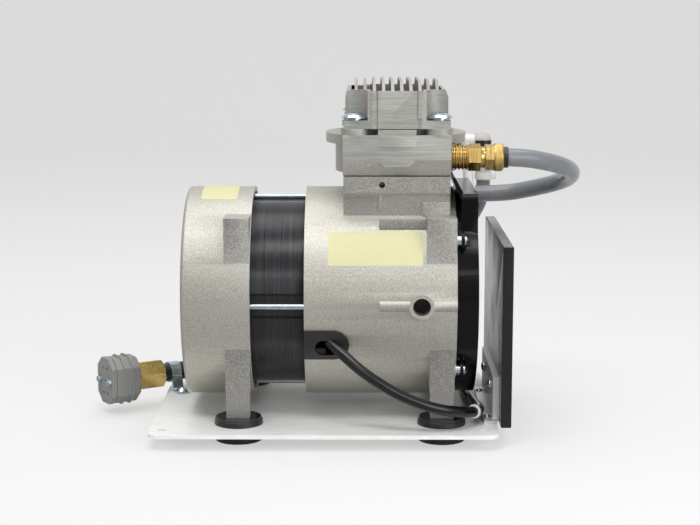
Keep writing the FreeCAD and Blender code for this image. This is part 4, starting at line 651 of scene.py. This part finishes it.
# %% The wardrobe
wardrobe = {
    "shell_grey": ["end_bell", "crankcase"],
    "head_cast": ["cylinder_head", "valve_plate", "connecting_rod"],
    "block_face": ["cylinder_block", "cylinder_liner", "piston_cap"],
    "plate_sheet": ["base_plate"],
    "bracket_sheet": ["panel_bracket"],
    "bright_zinc": [
        "isolator_bolts", "through_bolts", "head_screws", "head_lock_washers", "cowl_screws", "cowl_spacers",
        "panel_screws", "bracket_screws", "hose_clip", "hose_clip_screw", "silencer_screws", "fan_clip",
        "piston_cap_screw", "eccentric_screw", "intake_reed", "exhaust_reed", "reed_clamps",
    ],
    "turned_brass": ["hose_fitting_body", "hose_fitting_nut", "rear_pipe"],
    "drawn_brass": ["silencer_adapter"],
    "ground_steel": ["motor_shaft", "rear_bearing", "front_bearing", "rod_bearing", "eccentric"],
    "lamination_black": ["rotor_core", "stator_core"],
    "coil_copper": ["stator_coils"],
    "cowl_black": ["fan_cowl", "cooling_fan", "power_plug"],
    "panel_black": ["side_panel"],
    "rubber_black": ["rubber_isolators", "power_grommet", "hose_coupler", "hose_fitting_sleeve"],
    "washer_black": ["isolator_washers"],
    "white_moulding": ["hose_tee", "elbow_collar"],
    "elbow_moulding": ["port_elbow"],
    "silencer_plastic": ["vent_silencer"],
    "gasket_sheet": ["cylinder_gasket", "head_gasket"],
    "seal_brown": ["piston_cup"],
}
print("finishes worn", len(wardrobe))


# %% Give every node its finish
def dress(thing, material):
    """Puts one material in the object's own slot."""
    if not thing.data.materials:
        thing.data.materials.append(material)
    for place in thing.material_slots:
        place.link = "OBJECT"
        place.material = material


dressed = 0
for finish_name, wearers in wardrobe.items():
    for wearer in wearers:
        if wearer in nodes:
            dress(nodes[wearer], bpy.data.materials[finish_name])
            dressed += 1
print("dressed", dressed, "of", len(nodes))

# %% [markdown]
# ## Softened castings
#
# No casting leaves its mould with knife edges. Rounding each edge in the solid model would
# make it heavy, and a shader's rounding doesn't change the outline. So a copy of each
# casting's mesh is merged, its flat faces are joined, and a narrow bevel rounds every
# sharp edge, so that light catches there as it does on the real shell.


# %% Round the edges of a casting
merge_distance = 0.002 * mm
flat_within = np.radians(0.4)
sharp_beyond = np.radians(34.0)


def soften(node_name, width):
    """A copy of a frame node with flat faces joined and sharp edges rounded; it stands for the node."""
    source = nodes[node_name]
    form = bmesh.new()
    form.from_mesh(source.data)
    bmesh.ops.remove_doubles(form, verts=form.verts, dist=merge_distance)
    bmesh.ops.dissolve_limit(form, angle_limit=flat_within, verts=form.verts, edges=form.edges)
    mesh = bpy.data.meshes.new(node_name + "_soft")
    form.to_mesh(mesh)
    form.free()
    thing = bpy.data.objects.new(node_name + "_soft", mesh)
    bpy.context.scene.collection.objects.link(thing)
    bevel = thing.modifiers.new("edges", "BEVEL")
    bevel.width = width
    bevel.segments = 2
    bevel.limit_method = "ANGLE"
    bevel.angle_limit = sharp_beyond
    bevel.use_clamp_overlap = True
    bevel.harden_normals = False
    smooth(thing, angle=28.0)
    thing.data.materials.append(source.material_slots[0].material)
    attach(thing, "frame")
    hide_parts(node_name)
    return thing


print("edges sharper than", round(float(np.degrees(sharp_beyond)), 1), "degrees are rounded")

# %% Soften the castings and the mouldings
softened = {
    "end_bell": 0.7 * mm,
    "crankcase": 0.7 * mm,
    "cylinder_head": 0.45 * mm,
    "cylinder_block": 0.5 * mm,
    "side_panel": 0.3 * mm,
    "base_plate": 0.35 * mm,
    "panel_bracket": 0.5 * mm,
    "fan_cowl": 0.3 * mm,
    "vent_silencer": 0.4 * mm,
    "rubber_isolators": 0.5 * mm,
    "hose_coupler": 0.5 * mm,
    "port_elbow": 0.3 * mm,
    "elbow_collar": 0.3 * mm,
    "silencer_adapter": 0.4 * mm,
    "hose_fitting_nut": 0.3 * mm,
    "hose_fitting_body": 0.15 * mm,
    "power_grommet": 0.6 * mm,
    "power_plug": 0.8 * mm,
}
for node_name, width in softened.items():
    piece = soften(node_name, width)
    print("softened", node_name, len(piece.data.polygons), "faces")

# %% [markdown]
# ## The lamination stack
#
# The middle of the motor is a stack of thin steel sheets. Sixty-seven discs would be true
# to life and slow to draw. But the stack's outside is a cylinder with four shallow notches
# and a groove between each pair of sheets, so one function gives its radius from the place
# along the shaft and the angle round it, and one grid of points is the whole stack.

# %% The stack's sizes
stack_left, stack_right = -61.9 * mm, -8.1 * mm
stack_radius = 73.2 * mm
stack_bore = 41.0 * mm
notch_half_width = 8.0 * mm
notch_floor = 70.8 * mm
shaft_z = 95.0 * mm
sheet_pitch = 0.8 * mm
steps_per_sheet = 3
groove_depth = 0.10 * mm
round_steps = 288
sheets = int(round((stack_right - stack_left) / sheet_pitch))
print("sheets", sheets)

# %% Radius from the place along the shaft and the angle
step = np.arange(steps_per_sheet * sheets + 1)
along = np.linspace(stack_left, stack_right, len(step))
groove = np.where(step % steps_per_sheet == 0, groove_depth, 0.0)
turn = np.linspace(0.0, 2 * np.pi, round_steps, endpoint=False)
from_quarter = (turn + np.pi / 4) % (np.pi / 2) - np.pi / 4
in_notch = np.abs(from_quarter) < notch_half_width / stack_radius
outside = np.where(in_notch, notch_floor / np.cos(from_quarter), stack_radius)
radius = outside[None, :] - groove[:, None]
ends = np.full((1, round_steps), stack_bore)
radius = np.concatenate([ends, radius, ends])
along = np.concatenate([[stack_left], along, [stack_right]])
print("rings", radius.shape[0], "points round", radius.shape[1])


# %% The stack as one surface
def face_outwards(thing):
    """Merges points within a micrometre and turns every face of a closed surface to the outside."""
    form = bmesh.new()
    form.from_mesh(thing.data)
    bmesh.ops.remove_doubles(form, verts=form.verts, dist=1e-6)
    bmesh.ops.recalc_face_normals(form, faces=form.faces)
    form.to_mesh(thing.data)
    form.free()
    return thing


stack = np.stack(
    [np.broadcast_to(along[:, None], radius.shape), radius * np.cos(turn), shaft_z + radius * np.sin(turn)],
    axis=2,
)
laminations = face_outwards(grid_mesh("stator_laminations", stack, wrap_u=True, wrap_v=True))
smooth(laminations, angle=40.0)
laminations.data.materials.append(lamination_black)
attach(laminations, "frame")
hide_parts("stator_core")
print("stack faces", len(laminations.data.polygons))

# %% [markdown]
# ## Labels
#
# Two labels are stuck to the shells, one on the front of the right shell and one over the
# top of the left one. They are bare bent sheets with rounded corners. A shrinkwrapped
# plane would follow every pad and edge below it. Paper on a round shell bends one way only,
# so a label is a rectangle in (distance along the shaft, angle round it), wrapped on the
# shell.

# %% Sizes of the labels
shell_radius = 82.5 * mm
label_corner = 1.2 * mm
label_underside = 0.02 * mm
label_top = 0.12 * mm
label_rows, label_columns = 28, 9
print("paper", round((label_top - label_underside) / mm, 2), "mm thick")


# %% Wrap a label round a shell
def wrapped_label(name, left, right, low_degrees, high_degrees):
    """Points (x, angle) on a rounded rectangle's rows become (x, -R cos, z + R sin) on the shell."""
    low_angle, high_angle = np.radians(low_degrees), np.radians(high_degrees)
    across = np.linspace(0.0, 1.0, label_rows)
    height = shell_radius * (high_angle - low_angle)
    up = across * height
    near_end = np.minimum(up, height - up)
    rounding = np.sqrt(np.maximum(label_corner**2 - (label_corner - near_end) ** 2, 0.0))
    inset = np.where(near_end < label_corner, label_corner - rounding, 0.0)
    share = np.linspace(0.0, 1.0, label_columns)
    x = (left + inset)[:, None] + share[None, :] * (right - left - 2 * inset)[:, None]
    angle = (low_angle + across * (high_angle - low_angle))[:, None] + 0.0 * x
    inner, outer = (
        np.stack([x, -r * np.cos(angle), shaft_z + r * np.sin(angle)], axis=2)
        for r in (shell_radius + label_underside, shell_radius + label_top)
    )
    loop = np.concatenate([outer, inner[:, ::-1]], axis=1)
    thing = grid_mesh(name, loop, wrap_v=True)
    form = bmesh.new()
    form.from_mesh(thing.data)
    bmesh.ops.holes_fill(form, edges=form.edges, sides=0)
    form.to_mesh(thing.data)
    form.free()
    face_outwards(thing)
    smooth(thing, angle=40.0)
    thing.data.materials.append(label_paper)
    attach(thing, "frame")
    return thing


front_label = wrapped_label("front_label", 3.1 * mm, 74.9 * mm, 22.5, 42.3)
top_label = wrapped_label("top_label", -95.7 * mm, -67.5 * mm, 67.3, 112.0)
print("labels", len(front_label.data.polygons), len(top_label.data.polygons))

# %% [markdown]
# ## Hoses and the power lead
#
# A hose bends in one long sweep, because it resists bending. A simulated rope would lie
# anywhere, and a tube along straight runs looks like wire. So a hose is a smooth spline
# that a few given points pull into place, with a round section. The power lead
# leaves the rubber block in the shell, runs down past the right leg and goes behind the
# pump, where the rest of its 1.8 metres lies in a coil.


# %% A smooth round cord along points
def cord_curve(name, points, diameter, material):
    """A NURBS curve of order 3 with a round section; the points are its control points."""
    curve = bpy.data.curves.new(name, "CURVE")
    curve.dimensions = "3D"
    spline = curve.splines.new("NURBS")
    spline.points.add(len(points) - 1)
    spline.points.foreach_set("co", np.c_[np.array(points), np.ones(len(points))].ravel())
    spline.order_u = 3
    spline.use_endpoint_u = True
    spline.resolution_u = 8
    curve.bevel_depth = diameter / 2
    curve.bevel_resolution = 6
    curve.use_fill_caps = True
    curve.materials.append(material)
    thing = bpy.data.objects.new(name, curve)
    bpy.context.scene.collection.objects.link(thing)
    return thing


# %% Measure a curve
def curve_length(thing):
    """The length of a curve's own line, read from a copy with no section."""
    bare = thing.data.copy()
    bare.bevel_depth = 0.0
    helper = bpy.data.objects.new("measure", bare)
    bpy.context.scene.collection.objects.link(helper)
    bpy.context.view_layer.update()
    mesh = bpy.data.meshes.new_from_object(helper.evaluated_get(bpy.context.evaluated_depsgraph_get()))
    line = np.zeros(len(mesh.vertices) * 3)
    mesh.vertices.foreach_get("co", line)
    line = line.reshape(-1, 3)
    bpy.data.objects.remove(helper)
    bpy.data.meshes.remove(mesh)
    return float(np.linalg.norm(np.diff(line, axis=0), axis=1).sum())


# %% The routes of the two hoses
crossover_route = np.array([
    (130.2, -36.0, 204.5),
    (151.0, -36.0, 204.5),
    (171.0, -27.0, 200.6),
    (188.0, -11.0, 195.0),
    (197.0, 10.0, 188.0),
    (197.0, 34.0, 181.0),
    (188.0, 56.0, 174.0),
    (171.0, 74.0, 167.6),
    (149.0, 86.0, 162.0),
    (125.0, 86.0, 162.0),
]) * mm
transfer_route = np.array([
    (132.9, 102.0, 171.9),
    (132.9, 102.0, 157.0),
    (123.0, 116.0, 136.0),
    (104.0, 117.0, 108.0),
    (82.0, 112.0, 82.0),
    (58.0, 105.0, 58.0),
    (30.0, 99.0, 38.0),
    (-2.0, 97.0, 24.0),
    (-38.0, 97.0, 18.6),
    (-74.0, 91.0, 17.6),
    (-94.4, 64.3, 17.6),
    (-126.3, 43.6, 17.6),
]) * mm
print("points", len(crossover_route), len(transfer_route))

# %% The two hoses
for name, node_name, route, diameter in (
    ("crossover_tube", "crossover_hose", crossover_route, 14.0 * mm),
    ("transfer_tube", "transfer_hose", transfer_route, 12.0 * mm),
):
    thing = cord_curve(name, route, diameter, hose_grey)
    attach(thing, "frame")
    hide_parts(node_name)
    length = curve_length(thing)
    print(thing.name, "length", round(length, 4))

# %% The power lead's route to its coil
lead_diameter = 8.4 * mm
lead_route = np.array([
    (4.5, -77.0, 68.0),
    (12.8, -85.3, 62.6),
    (22.0, -91.6, 54.7),
    (32.3, -95.2, 47.1),
    (43.2, -97.0, 40.1),
    (54.7, -97.8, 33.3),
    (67.0, -98.2, 27.8),
    (81.5, -98.0, 22.6),
    (95.2, -93.8, 18.8),
    (106.8, -85.6, 16.0),
    (115.2, -74.0, 13.6),
    (119.8, -60.5, 11.3),
    (120.0, -45.0, 9.8),
    (118.4, -29.0, 8.6),
    (116.4, -11.0, 7.7),
    (115.0, 9.0, 7.5),
    (114.5, 33.0, 7.6),
    (115.0, 58.0, 7.7),
    (114.0, 84.0, 8.6),
    (110.5, 104.0, 8.8),
    (104.5, 121.5, 4.0),
    (97.5, 137.5, -2.0),
    (92.0, 153.0, -5.1),
    (88.6, 168.0, -5.3),
]) * mm
print("lead leaves at", [round(float(v), 4) for v in lead_route[0]])

# %% The coil
coil_centre = np.array((40.0, 168.0)) * mm
coil_outer = 48.4 * mm
coil_inner = 39.8 * mm
coil_turns = 5.25
points_per_turn = 16
step_quickness = 3.0

# Each whole turn has a ring (outer or inner) and a level; the lead steps over in a third of a turn.
ring_plan = np.array([coil_outer, coil_inner, coil_inner, coil_outer, coil_inner, coil_outer, coil_outer])
level_plan = np.array([0, 0, 1, 1, 2, 2, 2])
count = int(coil_turns * points_per_turn)
turned = np.arange(1, count + 1) / points_per_turn
whole = np.floor(turned).astype(int)
blend = np.clip((turned - whole) * step_quickness, 0.0, 1.0)
ring = ring_plan[np.maximum(whole - 1, 0)] * (1 - blend) + ring_plan[whole] * blend
level = level_plan[np.maximum(whole - 1, 0)] * (1 - blend) + level_plan[whole] * blend
angle = 2 * np.pi * turned
coil = np.stack(
    [
        coil_centre[0] + ring * np.cos(angle),
        coil_centre[1] + ring * np.sin(angle),
        floor_level + lead_diameter * (0.5 + level),
    ],
    axis=1,
)
print("coil of", coil_turns, "turns,", round(2 * (coil_outer + lead_diameter / 2), 4), "across")

# %% The whole lead
plug_run = np.array([(22.0, 214.0, 8.0), (6.0, 212.4, 3.2), (-6.0, 212.0, 1.5)]) * mm
lead = cord_curve("power_cord", np.concatenate([lead_route, coil, plug_run]), lead_diameter, sheath_black)
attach(lead, "frame")
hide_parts("power_lead", "power_lead_coil")
lead_length = curve_length(lead)
print("lead length", round(lead_length, 4))

# %% [markdown]
# ## The tie on the lead
#
# Where the lead turns in behind the right leg, a white cable tie is pulled tight round it.
# A torus would be round like a ring, but a tie is a flat band, so one rounded rectangle
# (along, radius) is carried round the lead's line. Near a corner of the route a curve of
# order 3 passes through 1/8, 3/4 and 1/8 of three points, and the tie sits there.

# %% Where the tie sits
tie_corner = 10
tie_width = 3.4 * mm
tie_thickness = 1.1 * mm
tie_trim = 0.35 * tie_thickness
tie_steps = 48

before, corner, after = lead_route[tie_corner - 1 : tie_corner + 2]
tie_place = 0.125 * before + 0.75 * corner + 0.125 * after
print("tie at", [round(float(v), 4) for v in tie_place])

# %% A band round the lead
forward = (after - before) / np.linalg.norm(after - before)
sideways = np.cross(forward, (0.0, 0.0, 1.0))
sideways /= np.linalg.norm(sideways)
upward = np.cross(sideways, forward)
half = tie_width / 2
along = np.array([-half, -half, -half + tie_trim, half - tie_trim, half, half])
rim = tie_thickness - tie_trim
radius = lead_diameter / 2 + 0.02 * mm + np.array([0.0, rim, tie_thickness, tie_thickness, rim, 0.0])
turn = np.linspace(0.0, 2 * np.pi, tie_steps, endpoint=False)[:, None]
points = (
    tie_place
    + along[None, :, None] * forward
    + (radius[None, :] * np.cos(turn))[..., None] * sideways
    + (radius[None, :] * np.sin(turn))[..., None] * upward
)
lead_tie = smooth(face_outwards(grid_mesh("lead_tie", points, wrap_u=True, wrap_v=True)), angle=50.0)
lead_tie.data.materials.append(tie_white)
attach(lead_tie, "frame")
print("tie faces", len(lead_tie.data.polygons))

print("declared", lead.name)

# %% [markdown]
# ## The knurl on the nut
#
# Fingers grip the nut's collar by its knurl: two families of fine ridges that cross. Bump
# in the material would leave the collar's outline smooth, so the ridges are real: the
# radius is the sum of two waves, one leaning each way round the collar.

# %% The knurl's sizes
knurl_left, knurl_right = 130.4 * mm, 136.3 * mm
knurl_radius = 10.4 * mm
knurl_depth = 0.42 * mm
knurl_ridges = 48
knurl_lean = 5.0
knurl_lift = 0.02 * mm
knurl_sunk = 0.6 * mm
knurl_rows = 41
steps_per_ridge = 6
fade_steepness = 8
fitting_y, fitting_z = -36.0 * mm, 204.5 * mm
print("ridges", knurl_ridges, "depth", round(knurl_depth / mm, 2), "mm")

# %% A knurled band
along = np.linspace(0.0, 1.0, knurl_rows)
turn = np.linspace(0.0, 2 * np.pi, steps_per_ridge * knurl_ridges, endpoint=False)
lean = np.pi * knurl_lean * along[:, None]
waves = np.cos(knurl_ridges * turn[None, :] + lean) + np.cos(knurl_ridges * turn[None, :] - lean)
ridge = 0.5 + 0.25 * waves
fade = np.clip(np.minimum(along, 1 - along) * fade_steepness, 0.0, 1.0)[:, None]
radius = knurl_radius + knurl_depth * ridge * fade + knurl_lift
inner_ring = np.full((1, len(turn)), knurl_radius - knurl_sunk)
radius = np.concatenate([inner_ring, radius, inner_ring])
x = knurl_left + np.concatenate([[0.0], along, [1.0]]) * (knurl_right - knurl_left)
band = np.stack(
    [
        np.broadcast_to(x[:, None], radius.shape),
        fitting_y + radius * np.cos(turn),
        fitting_z + radius * np.sin(turn),
    ],
    axis=2,
)
knurl = smooth(face_outwards(grid_mesh("nut_knurl", band, wrap_u=True, wrap_v=True)), angle=60.0)
knurl.data.materials.append(turned_brass)
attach(knurl, "frame")
print("knurl faces", len(knurl.data.polygons))

# %% [markdown]
# ## Light
#
# The pump stands under ceiling lamps, so its upturned sides are bright and its upright
# faces a step darker. Points or a sun would give hard shadows and pinpricks on the round
# metal, so the lamps are rectangles. A long one above and in front is the key, a low thin
# one draws a second line on the round shells, a broad one fills from the right, and the
# sky of the world is brighter overhead than at the horizon. The room's sheet shows itself
# paler to the camera than it lights, and keeps the shadow; in reflections its near floor
# is dark.


# %% Lamps
def area_lamp(name, place, size, power):
    """A rectangular lamp at a place, turned to face the pump's middle."""
    data = bpy.data.lights.new(name, "AREA")
    data.shape = "RECTANGLE"
    data.size, data.size_y = size
    data.energy = power
    lamp = bpy.data.objects.new(name, data)
    bpy.context.scene.collection.objects.link(lamp)
    lamp.location = place
    lamp.rotation_euler = (pump_middle - Vector(place)).to_track_quat("-Z", "Y").to_euler()


pump_middle = Vector((0.02, 0.0, 0.12))
area_lamp("key", (-0.15, -0.74, 1.62), size=(1.5, 0.40), power=13.0)
area_lamp("low_line", (0.0, -1.45, 0.86), size=(1.6, 0.10), power=2.4)
area_lamp("fill", (0.75, -0.95, 0.45), size=(0.9, 0.7), power=5.2)
area_lamp("top", (0.1, 0.35, 1.7), size=(1.6, 0.8), power=11.0)
print("lamps", len(bpy.data.lights))

# %% The sky of the world
horizon_colour = (0.43, 0.43, 0.425)
overhead_colour = (0.95, 0.96, 0.97)
sky_strength = 0.62

world = bpy.data.worlds.new("room_light")
bpy.context.scene.world = world
world.use_nodes = True
sky = world.node_tree
heading = sky.nodes.new("ShaderNodeSeparateXYZ")
sky.links.new(sky.nodes.new("ShaderNodeTexCoord").outputs["Generated"], heading.inputs[0])
overhead = spread(sky, heading.outputs["Z"], 0.0, 0.85)
background = sky.nodes["Background"]
sky.links.new(mix_colours(sky, overhead, horizon_colour, overhead_colour), background.inputs["Color"])
background.inputs["Strength"].default_value = sky_strength
print("world", world.name)


# %% The room's own finish
def room_finish():
    """A pale matt sheet; the camera sees it mixed with white, and in reflections its near floor is dark."""
    material, tree, shader = finish_start("room_sheet", 0.0, 0.7)
    feed(tree, shader.inputs["Base Color"], (0.78, 0.78, 0.775))
    rays = tree.nodes.new("ShaderNodeLightPath")
    place = object_place(tree)
    beyond = math_node(tree, "MAXIMUM", spread(tree, place["Z"], 0.02, 0.40), spread(tree, place["Y"], 0.20, 0.70))
    mirrored = mix_colours(tree, beyond, (0.30, 0.30, 0.295), (0.90, 0.90, 0.89))
    seen = shader.outputs[0]
    for colour, ray, share in (((0.90, 0.90, 0.895), "Is Camera Ray", 0.55), (mirrored, "Is Glossy Ray", 0.75)):
        glow = tree.nodes.new("ShaderNodeEmission")
        feed(tree, glow.inputs["Color"], colour)
        blend = tree.nodes.new("ShaderNodeMixShader")
        tree.links.new(math_node(tree, "MULTIPLY", rays.outputs[ray], share), blend.inputs[0])
        tree.links.new(seen, blend.inputs[1])
        tree.links.new(glow.outputs[0], blend.inputs[2])
        seen = blend.outputs[0]
    output = next(node for node in tree.nodes if node.type == "OUTPUT_MATERIAL")
    tree.links.new(seen, output.inputs["Surface"])
    return material


room.data.materials.append(room_finish())
bpy.context.scene.view_settings.view_transform = "Standard"
print("room wears", room.data.materials[0].name)
